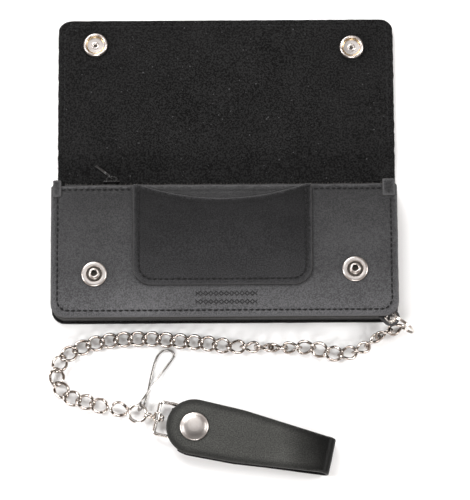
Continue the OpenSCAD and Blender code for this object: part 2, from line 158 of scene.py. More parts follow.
def mix(tree, amount, first, second):
    shade = lambda c: (*c, 1) if isinstance(c, tuple) and len(c) == 3 else c
    return add(tree, "ShaderNodeMix", {0: amount, 6: shade(first), 7: shade(second)},
               data_type="RGBA").outputs[2]


def between(tree, value, low, high, out_low=0.0, out_high=1.0):
    """value carried smoothly from low..high to out_low..out_high"""
    return add(tree, "ShaderNodeMapRange", {0: value, 1: low, 2: high, 3: out_low, 4: out_high},
               interpolation_type="SMOOTHSTEP").outputs[0]


def noise(tree, place, scale, detail=4.0, rough=0.55):
    return add(tree, "ShaderNodeTexNoise", {"Vector": place, "Scale": scale, "Detail": detail,
                                            "Roughness": rough}).outputs["Fac"]


def stretched(tree, place, amounts):
    return add(tree, "ShaderNodeVectorMath", {0: place, 1: amounts}, operation="MULTIPLY").outputs[0]


def new_material(name):
    material = bpy.data.materials.new(name)
    material.use_nodes = True
    tree = material.node_tree
    shader = tree.nodes["Principled BSDF"]
    place = stretched(tree, add(tree, "ShaderNodeTexCoord").outputs["Object"], (1000, 1000, 1000))
    return material, tree, shader, place


def bump(tree, shader, height, depth, normal=None):
    """raises the surface by height times depth millimetres"""
    sockets = {"Strength": 1.0, "Distance": depth * MM, "Height": height}
    if normal is not None:
        sockets["Normal"] = normal
    out = add(tree, "ShaderNodeBump", sockets).outputs[0]
    tree.links.new(out, shader.inputs["Normal"])
    return out


def new_group(name, inputs, outputs):
    group = bpy.data.node_groups.new(name, "ShaderNodeTree")
    for label, kind, value in inputs:
        socket = group.interface.new_socket(name=label, in_out="INPUT", socket_type=kind)
        if value is not None:
            socket.default_value = value
    for label, kind in outputs:
        group.interface.new_socket(name=label, in_out="OUTPUT", socket_type=kind)
    return group, group.nodes.new("NodeGroupInput").outputs, group.nodes.new("NodeGroupOutput").inputs


def use(tree, group, **sockets):
    item = tree.nodes.new("ShaderNodeGroup")
    item.node_tree = group
    for key, value in sockets.items():
        socket = item.inputs[key.replace("_", " ")]
        if isinstance(value, bpy.types.NodeSocket):
            tree.links.new(value, socket)
        else:
            socket.default_value = value
    return item


print("helpers ready")

# %% [markdown]
# Smooth cowhide still shows the animal: small plates of skin with creases between them, pores,
# and slow cloudy changes of tone where the dye took differently. The group returns a height for
# the bump and a tone for the colour, and each leather gives it its own plate size.

# %% Effect: leather grain
FLOAT, VECTOR = "NodeSocketFloat", "NodeSocketVector"
grain, g_in, g_out = new_group("leather grain",
                               [("Place", VECTOR, None), ("Plate", FLOAT, 0.9), ("Crease", FLOAT, 0.5)],
                               [("Height", FLOAT), ("Tone", FLOAT)])
wander = add(grain, "ShaderNodeTexNoise", {"Vector": g_in["Place"], "Scale": 0.9, "Detail": 2.0})
bent = add(grain, "ShaderNodeVectorMath", {0: wander.outputs["Color"], 1: (0.7, 0.7, 0.7), 2: g_in["Place"]},
           operation="MULTIPLY_ADD").outputs[0]
plate_scale = calc(grain, "DIVIDE", 1.0, g_in["Plate"])
plates = add(grain, "ShaderNodeTexVoronoi", {"Vector": bent, "Scale": plate_scale},
             feature="DISTANCE_TO_EDGE").outputs["Distance"]
creases = between(grain, plates, 0.0, 0.16)
pores = between(grain, add(grain, "ShaderNodeTexVoronoi",
                           {"Vector": bent, "Scale": 1.7}).outputs["Distance"], 0.05, 0.22)
fine = noise(grain, g_in["Place"], 5.0, 3.0, 0.6)
height = calc(grain, "MULTIPLY", creases, g_in["Crease"])
height = calc(grain, "ADD", height, calc(grain, "MULTIPLY", fine, 0.45))
height = calc(grain, "ADD", height, calc(grain, "MULTIPLY", pores, 0.3))
grain.links.new(height, g_out["Height"])
cloud = noise(grain, stretched(grain, g_in["Place"], (0.03, 0.05, 0.05)), 1.0, 5.0, 0.6)
speckle = noise(grain, g_in["Place"], 1.5, 4.0, 0.75)
grain.links.new(calc(grain, "ADD", calc(grain, "MULTIPLY", cloud, 0.45),
                     calc(grain, "MULTIPLY", speckle, 0.55)), g_out["Tone"])
print("group:", grain.name)

# %% [markdown]
# Where leather is cut, skived and handled, the dye rubs thin and the surface polishes. The effect
# reads how far a point is from its sheet's cut edge, a number stored on each sheet when it is
# made, and breaks the band up with noise so that the wear never looks like a drawn line. On the
# front panel's skived bevel the lighter band also stands for a painted highlight.

# %% Effect: edge wear and painted sheen
wear, w_in, w_out = new_group("edge wear and sheen",
                              [("Place", VECTOR, None), ("From edge", FLOAT, 5.0), ("Width", FLOAT, 1.0)],
                              [("Mask", FLOAT)])
patchy = noise(wear, w_in["Place"], 0.6, 5.0, 0.65)
reach_in = calc(wear, "MULTIPLY", w_in["Width"], between(wear, patchy, 0.3, 0.7, 0.35, 1.5))
wear.links.new(calc(wear, "SUBTRACT", 1.0, calc(wear, "DIVIDE", w_in["From edge"], reach_in, clamp=True),
                    clamp=True), w_out["Mask"])
print("group:", wear.name)

# %% [markdown]
# The flesh side of a hide is a mat of fine fibres. Brushed one way it looks pale, the other way
# dark, so a hand leaves soft blotches on it. Long noise gives the blotches, short stretched noise
# gives the fibres, and a few bright flecks are loose fibre ends that catch the light.

# %% Effect: suede nap
nap, n_in, n_out = new_group("suede nap", [("Place", VECTOR, None), ("Fibre", FLOAT, 1.0)],
                             [("Height", FLOAT), ("Tone", FLOAT), ("Flecks", FLOAT)])
blotch = noise(nap, n_in["Place"], 0.055, 6.0, 0.62)
lay = noise(nap, stretched(nap, n_in["Place"], (0.9, 2.2, 1.2)), 0.9, 5.0, 0.7)
fuzz = noise(nap, n_in["Place"], calc(nap, "DIVIDE", 3.4, n_in["Fibre"]), 5.0, 0.75)
nap.links.new(calc(nap, "ADD", calc(nap, "MULTIPLY", lay, 0.6), fuzz), n_out["Height"])
tone = calc(nap, "ADD", calc(nap, "MULTIPLY", blotch, 0.5), calc(nap, "MULTIPLY", lay, 0.28))
nap.links.new(calc(nap, "ADD", tone, calc(nap, "MULTIPLY", fuzz, 0.22)), n_out["Tone"])
fleck = add(nap, "ShaderNodeTexVoronoi", {"Vector": n_in["Place"], "Scale": 0.42,
                                          "Randomness": 1.0}).outputs["Distance"]
fleck_size = between(nap, noise(nap, n_in["Place"], 0.31, 2.0), 0.45, 0.75, 0.0, 0.2)
nap.links.new(calc(nap, "LESS_THAN", fleck, fleck_size), n_out["Flecks"])
print("group:", nap.name)

# %% [markdown]
# Plated metal is bright where it is rubbed and dull brown in its hollows. Hair scratches run in
# two directions, and a slow noise carries the thin tarnish that nickel picks up from a hand.

# %% Effect: metal wear
metal_wear, m_in, m_out = new_group("metal wear", [("Place", VECTOR, None), ("Scratch", FLOAT, 0.5)],
                                    [("Tarnish", FLOAT), ("Dull", FLOAT), ("Height", FLOAT)])
scratch_a = noise(metal_wear, stretched(metal_wear, m_in["Place"], (0.6, 9.0, 3.0)), 1.0, 3.0, 0.7)
scratch_b = noise(metal_wear, stretched(metal_wear, m_in["Place"], (8.0, 0.8, 3.0)), 1.0, 3.0, 0.7)
scratches = calc(metal_wear, "MAXIMUM", scratch_a, scratch_b)
haze = noise(metal_wear, m_in["Place"], 0.35, 5.0, 0.6)
metal_wear.links.new(between(metal_wear, haze, 0.45, 0.75), m_out["Tarnish"])
metal_wear.links.new(calc(metal_wear, "MULTIPLY", between(metal_wear, scratches, 0.5, 0.8), m_in["Scratch"]),
                     m_out["Dull"])
metal_wear.links.new(scratches, m_out["Height"])
print("group:", metal_wear.name)

# %% [markdown]
# The outer leather is aniline cowhide dyed black: nearly black colour, a soft wide sheen and a
# fine grain. One recipe serves the wallet and the strap, with other tones and plate sizes, since
# both are cut from such hides. Along a cut edge the dye is rubbed to grey and polished; on the front
# panel's bevel that lighter band also stands for a painted highlight. Painted light is added too:
# the front panel and the card pocket grow lighter towards the bottom, a painted sheen, the strap
# grows darker towards its fold, painted shade, and a dark line in the stitch groove is painted shade.

# %% Material: smooth leather
def grain_leather(name, deep, pale, rubbed_and_sheen, plate=0.9, shine=0.42, depth=0.05, band=2.6, groove_shade=0.0, painted_light_ramp=None,
                  dark_rim=0.0, tooled=False, level=0.35):
    material, tree, shader, place = new_material(name)
    skin = use(tree, grain, Place=place, Plate=plate, Crease=0.5)
    edge = add(tree, "ShaderNodeAttribute", attribute_name="edge").outputs["Fac"]
    rub_and_sheen = use(tree, wear, Place=place, From_edge=edge, Width=band).outputs["Mask"]
    tone = between(tree, skin.outputs["Tone"], 0.36, 0.66)
    pores = between(tree, noise(tree, place, 1.5, 2.0, 0.6), 0.38, 0.62)
    tone = calc(tree, "MULTIPLY_ADD", pores, 0.38, calc(tree, "MULTIPLY_ADD", tone, 0.4, 0.11))
    colour = mix(tree, tone, deep, pale)
    # painted light: a ramp along one axis scales the colour, so the sheet grows lighter or darker along it as the
    # light would make it
    if painted_light_ramp:
        axis, stops = painted_light_ramp
        spot = add(tree, "ShaderNodeSeparateXYZ", {0: place}).outputs["XYZ".index(axis)]
        spot = calc(tree, "ADD", spot, calc(tree, "MULTIPLY", noise(tree, place, 0.03, 2.0), 12.0))
        spot = calc(tree, "SUBTRACT", spot, 6.0)
        ends = stops[0][0], stops[-1][0]
        share = add(tree, "ShaderNodeMapRange", {0: spot, 1: ends[0], 2: ends[1]}).outputs[0]
        ramp = add(tree, "ShaderNodeValToRGB", {0: share})
        while len(ramp.color_ramp.elements) < len(stops):
            ramp.color_ramp.elements.new(0.5)
        for element, (at, level) in zip(ramp.color_ramp.elements, stops):
            element.position, element.color = (at - ends[0]) / (ends[1]
                                                                - ends[0]), (level, level, level * 1.02, 1)
        colour = add(tree, "ShaderNodeMix", {0: 1.0, 6: colour, 7: ramp.outputs[0]}, data_type="RGBA",
                     blend_type="MULTIPLY").outputs[2]
    # lighter band at the cut edge: rubbed dye, and on the front panel's bevel also a painted highlight
    colour = mix(tree, calc(tree, "MULTIPLY", rub_and_sheen, 0.85), colour, rubbed_and_sheen)
    if dark_rim:
        rim = between(tree, edge, 0.8, dark_rim, 0.6, 0.0)
        colour = mix(tree, rim, colour, (0.006, 0.006, 0.006))
    height = skin.outputs["Height"]
    if tooled:
        at = add(tree, "ShaderNodeSeparateXYZ", {0: place}).outputs
        across = calc(tree, "ABSOLUTE", calc(tree, "SUBTRACT", at["X"], 1.0))
        beat = calc(tree, "PINGPONG", across, 1.375)
        rows = calc(tree, "MINIMUM", calc(tree, "ABSOLUTE", calc(tree, "ADD", at["Y"], 23.6)),
                    calc(tree, "ABSOLUTE", calc(tree, "ADD", at["Y"], 28.1)))
        ring = calc(tree, "ABSOLUTE", calc(tree, "SUBTRACT", calc(tree, "ADD", beat, rows), 1.15))
        tool = between(tree, ring, 0.25, 0.5, 1.0, 0.0)
        tool = calc(tree, "MULTIPLY", tool, between(tree, rows, 1.5, 1.8, 1.0, 0.0))
        tool = calc(tree, "MULTIPLY", tool, between(tree, across, 16.2, 16.6, 1.0, 0.0))
        colour = mix(tree, calc(tree, "MULTIPLY", tool, 0.9), colour, (0.006, 0.006, 0.006))
        height = calc(tree, "MULTIPLY_ADD", tool, -3.0, height)
    # painted shade: a dark line along the stitch groove
    if groove_shade:
        line = between(tree, calc(tree, "ABSOLUTE", calc(tree, "SUBTRACT", edge, 3.35)), 0.25, 0.75, groove_shade,
                       0.0)
        colour = mix(tree, line, colour, (0.004, 0.004, 0.004))
    tree.links.new(colour, shader.inputs["Base Color"])
    rough = calc(tree, "MULTIPLY_ADD", noise(tree, place, 0.12, 2.0), 0.12, shine - 0.06)
    rough = calc(tree, "MULTIPLY_ADD", tone, -0.10, rough)
    tree.links.new(calc(tree, "SUBTRACT", rough, calc(tree, "MULTIPLY", rub_and_sheen, 0.06)),
                   shader.inputs["Roughness"])
    shader.inputs["Specular IOR Level"].default_value = level
    bump(tree, shader, height, depth)
    return material


# the front panel grows lighter towards the bottom: painted sheen; a dark line in its stitch groove is painted shade
panel_leather = grain_leather("panel leather", (0.022, 0.022, 0.023), (0.108, 0.108, 0.111),
                              (0.070, 0.070,
                               0.073), shine=0.42, groove_shade=0.25, band=1.8, depth=0.09, tooled=True, level=0.3,
                              painted_light_ramp=("Y", ((-36, 1.15), (-30, 1.0), (-10, 0.56), (20, 0.42), (36, 0.26))))
# the card pocket grows lighter towards the bottom: painted sheen; a dark line in its stitch groove is painted shade
card_leather = grain_leather("card pocket leather", (0.020, 0.020, 0.021), (0.098, 0.098, 0.101),
                             (0.045, 0.045, 0.047), shine=0.42, groove_shade=0.25, band=1.6, depth=0.09, level=0.14,
                             painted_light_ramp=("Y", ((-19, 0.46), (-8, 0.36), (12, 0.24), (36, 0.12))))
cover_leather = grain_leather("cover leather", (0.012, 0.012, 0.0125), (0.028, 0.028, 0.029),
                              (0.055, 0.055, 0.057))
# the strap grows darker towards its folded end: painted shade where the leaf bends away from the light
belt_leather = grain_leather("belt leather", (0.026, 0.0265, 0.0245), (0.080, 0.081, 0.075),
                             (0.10, 0.10, 0.095), 0.7, 0.38, 0.035, 1.2,
                             painted_light_ramp=("X", ((-60, 1.0), (30, 1.0), (40, 0.5), (50, 0.16),
                                         (60, 0.06))), dark_rim=4.5, level=0.36)
soft_leather = grain_leather("gusset leather", (0.009, 0.009, 0.009), (0.020, 0.0195, 0.0195),
                             (0.04, 0.039, 0.037), 0.6, 0.55, 0.04, 0.8)
print("leathers:", [m.name for m in bpy.data.materials])

# %% [markdown]
# The inside of the flap was left as suede, dyed through. Its colour hardly changes, but the nap
# does, so the material is nearly all bump and soft light: no gloss, a little sheen from the fibre
# ends, dark blotches and a few pale flecks.

# %% Material: suede and cut edges
suede, tree, shader, place = new_material("flesh side")
fur = use(tree, nap, Place=place, Fibre=1.0)
tufts = between(tree, noise(tree, place, 1.1, 2.0, 0.6), 0.42, 0.58)
tufts = calc(tree, "MULTIPLY_ADD", tufts, 0.7,
             calc(tree, "MULTIPLY", between(tree, fur.outputs["Tone"], 0.36, 0.66), 0.3))
colour = mix(tree, tufts, (0.0003, 0.0003, 0.0003), (0.0180, 0.0180, 0.0182))
colour = mix(tree, calc(tree, "MULTIPLY", fur.outputs["Flecks"], 0.6), colour, (0.10, 0.10, 0.104))
tree.links.new(colour, shader.inputs["Base Color"])
shader.inputs["Roughness"].default_value = 0.95
shader.inputs["Specular IOR Level"].default_value = 0.1
shader.inputs["Sheen Weight"].default_value = 0.02
shader.inputs["Sheen Roughness"].default_value = 0.6
bump(tree, shader, fur.outputs["Height"], 0.45)

cut_edge, tree, shader, place = new_material("cut edge")
fibres = noise(tree, stretched(tree, place, (2.2, 2.2, 6.0)), 1.0, 5.0, 0.7)
colour = mix(tree, between(tree, fibres, 0.35, 0.7), (0.008, 0.008, 0.008), (0.035, 0.033, 0.031))
tree.links.new(colour, shader.inputs["Base Color"])
tree.links.new(between(tree, fibres, 0.3, 0.8, 0.45, 0.85), shader.inputs["Roughness"])
bump(tree, shader, fibres, 0.25)

# pale colour for the pocket mouth's cut edge: partly a polished edge, partly a painted highlight along it
pale_edge, tree, shader, place = new_material("pale edge and painted highlight")
fibres = noise(tree, stretched(tree, place, (1.2, 3.0, 6.0)), 1.0, 5.0, 0.7)
colour = mix(tree, between(tree, fibres, 0.35, 0.7), (0.05, 0.05, 0.052), (0.20, 0.20, 0.205))
tree.links.new(colour, shader.inputs["Base Color"])
tree.links.new(between(tree, fibres, 0.3, 0.8, 0.3, 0.6), shader.inputs["Roughness"])
bump(tree, shader, fibres, 0.12)
print("suede and edges ready")

# %% [markdown]
# Bonded nylon thread is slick and jet black. Its twist is made in the mesh of each stitch, so the
# material only needs fine filaments along it and a slight dust of grey.

# %% Material: thread and zipper cloth
thread, tree, shader, place = new_material("thread")
strands = noise(tree, place, 6.0, 3.0, 0.6)
tree.links.new(mix(tree, strands, (0.002, 0.002, 0.002), (0.010, 0.010, 0.011)), shader.inputs["Base Color"])
tree.links.new(between(tree, strands, 0.3, 0.7, 0.45, 0.7), shader.inputs["Roughness"])
shader.inputs["Specular IOR Level"].default_value = 0.2
bump(tree, shader, strands, 0.04)

tape_cloth, tree, shader, place = new_material("zipper cloth")
ribs = add(tree, "ShaderNodeTexWave", {"Vector": place, "Scale": 0.5, "Distortion": 0.4, "Detail": 1.0},
           wave_type="BANDS", bands_direction="X").outputs["Fac"]
picks = add(tree, "ShaderNodeTexWave", {"Vector": place, "Scale": 0.9, "Distortion": 0.3, "Detail": 1.0},
            wave_type="BANDS", bands_direction="Z").outputs["Fac"]
weave = calc(tree, "MAXIMUM", ribs, picks)
tree.links.new(mix(tree, weave, (0.006, 0.006, 0.007), (0.03, 0.03, 0.032)), shader.inputs["Base Color"])
tree.links.new(between(tree, weave, 0.0, 1.0, 0.95, 0.7), shader.inputs["Roughness"])
bump(tree, shader, weave, 0.12)
print("thread and cloth ready")

# %% [markdown]
# The snaps, links and rings are plated steel. Bright nickel is slightly warm and mirrors the room,
# the chain is rougher with brown in its hollows, and the springs in the snaps are brass coloured.

# %% Material: metals
def plated(name, bright, brown, smooth, dull, tarnish=0.5, depth=0.0004):
    material, tree, shader, place = new_material(name)
    touch = use(tree, metal_wear, Place=place, Scratch=0.6)
    shade = calc(tree, "MULTIPLY", touch.outputs["Tarnish"], tarnish)
    tree.links.new(mix(tree, shade, bright, brown), shader.inputs["Base Color"])
    shader.inputs["Metallic"].default_value = 1.0
    rough = calc(tree, "MULTIPLY_ADD", touch.outputs["Dull"], dull - smooth, smooth)
    tree.links.new(calc(tree, "MULTIPLY_ADD", shade, 0.12, rough), shader.inputs["Roughness"])
    bump(tree, shader, touch.outputs["Height"], depth)
    return material


nickel = plated("nickel", (0.66, 0.63, 0.60), (0.34, 0.26, 0.20), 0.18, 0.32)
satin_nickel = plated("satin nickel", (0.72, 0.67, 0.64), (0.46, 0.36, 0.30), 0.30, 0.36, 0.3)
chain_nickel = plated("chain nickel", (0.44, 0.40, 0.37), (0.13, 0.085, 0.06), 0.10, 0.26, 0.8)
wire_nickel = plated("wire nickel", (0.30, 0.29, 0.28), (0.14, 0.12, 0.10), 0.16, 0.32)
spring_brass = plated("spring brass", (0.66, 0.50, 0.28), (0.34, 0.24, 0.12), 0.25, 0.45)
# dark metal for bores and recesses: painted shade where shade falls into the hollows
dark_bore = plated("painted bore shade", (0.10, 0.09, 0.08), (0.03, 0.025, 0.02), 0.45, 0.7)

zip_metal = plated("zipper metal", (0.045, 0.043, 0.04), (0.02, 0.018, 0.016), 0.4, 0.6)
zip_paint, tree, shader, place = new_material("zipper paint")
chips = between(tree, noise(tree, place, 1.4, 5.0, 0.7), 0.70, 0.78)
tree.links.new(mix(tree, chips, (0.003, 0.003, 0.003), (0.10, 0.095, 0.09)), shader.inputs["Base Color"])
tree.links.new(chips, shader.inputs["Metallic"])
tree.links.new(between(tree, noise(tree, place, 0.8, 3.0), 0.3, 0.7, 0.25, 0.45), shader.inputs["Roughness"])
bump(tree, shader, noise(tree, place, 2.0, 3.0), 0.03)
print("metals ready")

# %% [markdown]
# The table is plain white board. A slow noise of two near whites and a slight grain keep it from
# looking like nothing at all, without drawing the eye.

# %% Material: table and room
board, tree, shader, place = new_material("white board")
tree.links.new(mix(tree, noise(tree, place, 0.01, 3.0), (0.93, 0.93, 0.93), (0.97, 0.97, 0.97)),
               shader.inputs["Base Color"])
shader.inputs["Roughness"].default_value = 0.6
shader.inputs["Specular IOR Level"].default_value = 0.25
table.data.materials.append(board)

world = bpy.data.worlds.new("room")
bpy.context.scene.world = world
world.use_nodes = True
sky = world.node_tree
up = add(sky, "ShaderNodeSeparateXYZ", {0: add(sky, "ShaderNodeTexCoord").outputs["Generated"]}).outputs["Z"]
shades = add(sky, "ShaderNodeValToRGB", {0: up})
shades.color_ramp.elements[0].position, shades.color_ramp.elements[0].color = 0.05, (0.85, 0.74, 0.66, 1)
shades.color_ramp.elements[1].position, shades.color_ramp.elements[1].color = 0.85, (0.035, 0.03, 0.028, 1)
middle = shades.color_ramp.elements.new(0.4)
middle.color = (0.22, 0.15, 0.11, 1)
sky.links.new(shades.outputs[0], sky.nodes["Background"].inputs["Color"])
sky.nodes["Background"].inputs["Strength"].default_value = 1.0
print("materials:", len(bpy.data.materials))

# %% [markdown]
# Every piece starts as a list of points and faces. A small collector gathers parts of one piece,
# remembers which finish each face takes, and stores on each point how far it is from the cut edge
# of its sheet, the number that the edge wear reads.

# %% Mesh helper
class Shape:
    def __init__(self):
        self.points, self.faces, self.finish, self.edge, self.count = [], [], [], [], 0

    def add(self, points, faces, finish=0, edge=9.0):
        points = np.asarray(points, float).reshape(-1, 3)
        self.points.append(points)
        self.faces += [tuple(int(i) + self.count for i in f) for f in faces]
        self.finish += list(finish) if np.ndim(finish) else [finish] * len(faces)
        self.edge.append(np.broadcast_to(np.asarray(edge, float), len(points)))
        self.count += len(points)
        return self

    def build(self, name, body, materials, slot, nodes=(), rides=True):
        mesh = bpy.data.meshes.new(name)
        mesh.from_pydata((np.concatenate(self.points) * MM).tolist(), [], self.faces)
        for material in materials:
            mesh.materials.append(material)
        mesh.polygons.foreach_set("material_index", self.finish)
        mesh.polygons.foreach_set("use_smooth", [True] * len(mesh.polygons))
        mesh.attributes.new("edge", "FLOAT", "POINT").data.foreach_set("value",
                                                                       np.concatenate(self.edge).astype(np.float32))
        mesh.validate()
        mesh.update()
        piece = bpy.data.objects.new(name, mesh)
        bpy.context.collection.objects.link(piece)
        if rides:
            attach(piece, body)
        if nodes:
            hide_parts(*nodes)
        print(name, "-", len(mesh.vertices), "points")
        return piece


def band(rows, across, wrap_rows=False, wrap_across=False):
    """quads of a grid whose points are listed row by row"""
    quads = []
    for i in range(rows if wrap_rows else rows - 1):
        for j in range(across if wrap_across else across - 1):
            a, b = i * across + j, i * across + (j + 1) % across
            c, d = ((i + 1) % rows) * across + (j + 1) % across, ((i + 1) % rows) * across + j
            quads.append((a, b, c, d))
    return quads


def waves(x, y, seed, size, amount):
    """soft uneven ground: a few long waves in seeded directions"""
    dice = np.random.default_rng(seed)
    total = np.zeros(np.broadcast(x, y).shape)
    for k in range(6):
        turn, phase = dice.uniform(0, math.tau, 2)
        length = size * dice.uniform(0.6, 1.8)
        total = total + np.sin((x * math.cos(turn) + y * math.sin(turn)) * math.tau / length + phase)
    return total * amount / 3.5


print("mesh helper ready")

# %% [markdown]
# A leather sheet could be a box with a bevel, but real sheets have a rounded, slightly crushed
# edge, a groove where the stitches pull in, and a face that is never quite flat. So each sheet is
# a grid, fine near its edges and coarse between, whose square corners are pressed into round ones.

# %% Leather sheets
def grid_lines(a, b, step, near=(0, 0.1, 0.3, 0.6, 1.0, 1.6, 2.2, 2.8, 3.4, 4.0, 5.0), extra=()):
    near = np.array([n for n in near if n < (b - a) / 2.2])
    inner = np.linspace(a + near[-1], b - near[-1], max(2, int((b - a - 2 * near[-1]) / step) + 1))
    return np.unique(np.round(np.concatenate([a + near, inner, b - near, np.array(extra, float)]), 3))


def round_corners(x, y, box, radii):
    x0, x1, y0, y1 = box
    x, y = x.copy(), y.copy()
    for sx, sy, r in ((-1, -1, radii[0]), (1, -1, radii[0]), (1, 1, radii[1]), (-1, 1, radii[1])):
        cx = x0 + r if sx < 0 else x1 - r
        cy = y0 + r if sy < 0 else y1 - r
        a, b = (x - cx) * sx / r, (y - cy) * sy / r
        at = (a > 0) & (b > 0)
        x[at], y[at] = (cx + sx * r * a * np.sqrt(1 - b * b / 2))[at], (cy + sy * r * b
                                                                        * np.sqrt(1 - a * a / 2))[at]
    return x, y


def edge_distance(x, y, box, radii):
    x0, x1, y0, y1 = box
    d = np.minimum(np.minimum(x - x0, x1 - x), np.minimum(y - y0, y1 - y))
    for sx, sy, r in ((-1, -1, radii[0]), (1, -1, radii[0]), (1, 1, radii[1]), (-1, 1, radii[1])):
        cx = x0 + r if sx < 0 else x1 - r
        cy = y0 + r if sy < 0 else y1 - r
        a, b = (x - cx) * sx, (y - cy) * sy
        at = (a > 0) & (b > 0)
        d[at] = (r - np.hypot(a, b))[at]
    return np.maximum(d, 0)


def rim_steps(n, m):
    """the grid places met on one walk round the rim of an n by m grid"""
    return ([(i, 0) for i in range(n)] + [(n - 1, j) for j in range(1, m)]
            + [(i, m - 1) for i in range(n - 2, -1, -1)] + [(0, j) for j in range(m - 2, 0, -1)])


def leather_sheet(box, radii, low, high, step=3.0, edge_r=0.5, rise=None, sink=None, move=None,
                  edge_box=None, extra_x=(), extra_y=(), rough=0.0, seed=1, finish=(0, 1, 2)):
    """a closed sheet; rise and sink add to the upper and lower face, move shifts points in the plane"""
    xs, ys = grid_lines(box[0], box[1], step, extra=extra_x), grid_lines(box[2], box[3], step, extra=extra_y)
    x, y = np.meshgrid(xs, ys, indexing="ij")
    x, y = round_corners(x, y, box, radii)
    d = edge_distance(x, y, edge_box or box, radii)
    drop = edge_r * (1 - np.sqrt(1 - (1 - np.clip(d / edge_r, 0, 1)) ** 2))
    upper = high - drop + (rise(x, y, d) if rise else 0)
    lower = low + drop + (sink(x, y, d) if sink else 0)
    if move:
        x, y = move(x, y)
    n, m = x.shape
    shape = Shape()
    quads = band(n, m)
    shape.add(np.stack([x, y, upper], 2), [q[::-1] for q in quads], finish[0], d.ravel())
    shape.add(np.stack([x, y, lower], 2), quads, finish[2], d.ravel())
    ring = rim_steps(n, m)
    i, j = np.array(ring).T
    dice = np.random.default_rng(seed)
    out = np.stack([np.roll(y[i, j], -1) - np.roll(y[i, j], 1), np.roll(x[i, j], 1) - np.roll(x[i, j], -1)],
                   1)
    out /= np.maximum(np.linalg.norm(out, axis=1, keepdims=True), 1e-6)
    rows = []
    for share, push in ((0, 0), (0.3, 0.12), (0.5, 0.16), (0.7, 0.12), (1, 0)):
        z = lower[i, j] * (1 - share) + upper[i, j] * share
        ragged = dice.normal(0, rough, len(i)) if 0 < share < 1 else 0
        closed = (d[i, j] < 0.05)
        shift = (push * min(1, edge_r * 2) + ragged) * closed
        rows.append(np.stack([x[i, j] + out[:, 0] * shift, y[i, j] + out[:, 1] * shift, z], 1))
    shape.add(np.concatenate(rows), [q[::-1] for q in band(5, len(i), wrap_across=True)], finish[1], 0.0)
    return shape


print("sheet helper ready")

# %% [markdown]
# Wires, tubes and turned parts share two helpers. A tube follows a line of points with frames
# that never twist suddenly; a turned part spins a profile about an axis, with its corners
# softened first, because no plated part has a knife edge.

# %% Tubes and turned parts
def unit(v):
    return v / np.maximum(np.linalg.norm(v, axis=-1, keepdims=True), 1e-9)


def tube(line, radius, sides=12, closed=False, caps=True):
    line = np.asarray(line, float)
    n = len(line)
    radius = np.broadcast_to(np.asarray(radius, float), n)
    run = unit(np.roll(line, -1, 0) - np.roll(line, 1, 0)) if closed else unit(np.gradient(line, axis=0))
    side = np.zeros((n, 3))
    first = np.cross(run[0], (0, 0, 1.0) if abs(run[0][2]) < 0.9 else (1.0, 0, 0))
    side[0] = unit(first)
    for k in range(1, n):
        side[k] = unit(side[k - 1] - run[k] * (side[k - 1] @ run[k]))
    if closed:
        back = unit(side[-1] - run[0] * (side[-1] @ run[0]))
        slip = math.atan2(np.cross(back, side[0]) @ run[0], back @ side[0])
        for k in range(n):
            a = slip * k / n
            side[k] = side[k] * math.cos(a) + np.cross(run[k], side[k]) * math.sin(a)
    other = np.cross(run, side)
    turn = np.arange(sides) * math.tau / sides
    points = line[:, None] + radius[:, None,
                                    None] * (np.cos(turn)[None, :,
                                                          None] * side[:, None] + np.sin(turn)[None, :, None] * other[:, None])
    faces = band(n, sides, wrap_rows=closed, wrap_across=True)
    points = points.reshape(-1, 3)
    if caps and not closed:
        ends = [line[0] - run[0] * radius[0] * 0.35, line[-1] + run[-1] * radius[-1] * 0.35]
        points = np.concatenate([points, ends])
        faces += [(n * sides, (j + 1) % sides, j) for j in range(sides)]
        faces += [(n * sides + 1, (n - 1) * sides + j,
                   (n - 1) * sides + (j + 1) % sides) for j in range(sides)]
    return points, faces


def soften(profile, radius=0.18):
    """rounds the corners of a profile; each corner becomes a short curve"""
    profile = [np.array(p, float) for p in profile]
    out = [profile[0]]
    for a, b, c in zip(profile, profile[1:], profile[2:]):
        back, ahead = a - b, c - b
        cut = min(radius, np.linalg.norm(back) * 0.45, np.linalg.norm(ahead) * 0.45)
        p, q = b + unit(back) * cut, b + unit(ahead) * cut
        out += [p * (1 - t) ** 2 + 2 * b * t * (1 - t) + q * t * t for t in (0, 0.33, 0.67, 1)]
    return np.array(out + [profile[-1]])


def turned(profile, centre, axis=(0, 0, 1), sides=56, radius=0.18, finish=0):
    """a profile of (radius, height) spun about an axis through centre"""
    p = soften(profile, radius)
    axis = unit(np.array(axis, float))
    u = unit(np.cross(axis, (0, 1, 0) if abs(axis[1]) < 0.9 else (1, 0, 0)))
    v = np.cross(axis, u)
    turn = np.arange(sides) * math.tau / sides
    ring = np.cos(turn)[:, None] * u + np.sin(turn)[:, None] * v
    points = np.array(centre) + p[:, None, :1] * ring[None] + p[:, None, 1:] * axis
    return points.reshape(-1, 3), [q[::-1] for q in band(len(p), sides, wrap_across=True)]


def smooth_line(points, parts=8, closed=False):
    """a curve through the points, bending smoothly at each"""
    p = np.asarray(points, float)
    n = len(p)
    pick = (lambda i: p[i % n]) if closed else (lambda i: p[min(max(i, 0), n - 1)])
    line = []
    for i in range(n if closed else n - 1):
        a, b, c, d = pick(i - 1), pick(i), pick(i + 1), pick(i + 2)
        for k in range(parts):
            t = k / parts
            line.append(0.5 * (2 * b + (c - a) * t + (2 * a - 5 * b + 4 * c - d) * t * t
                               + (3 * b - a - 3 * c + d) * t ** 3))
    if not closed:
        line.append(p[-1])
    return np.array(line)


print("tube and lathe ready")

# %% [markdown]
# Outer cover. One hide runs from the back, up the spine and over the flap, so it has to bend at
# two fold lines. A piece can bend across one joint only, so the hide is made as two sheets that
# meet on the middle of the spine, where neither bends. Both follow one height curve, and the
# suede side faces up while the wallet is open.

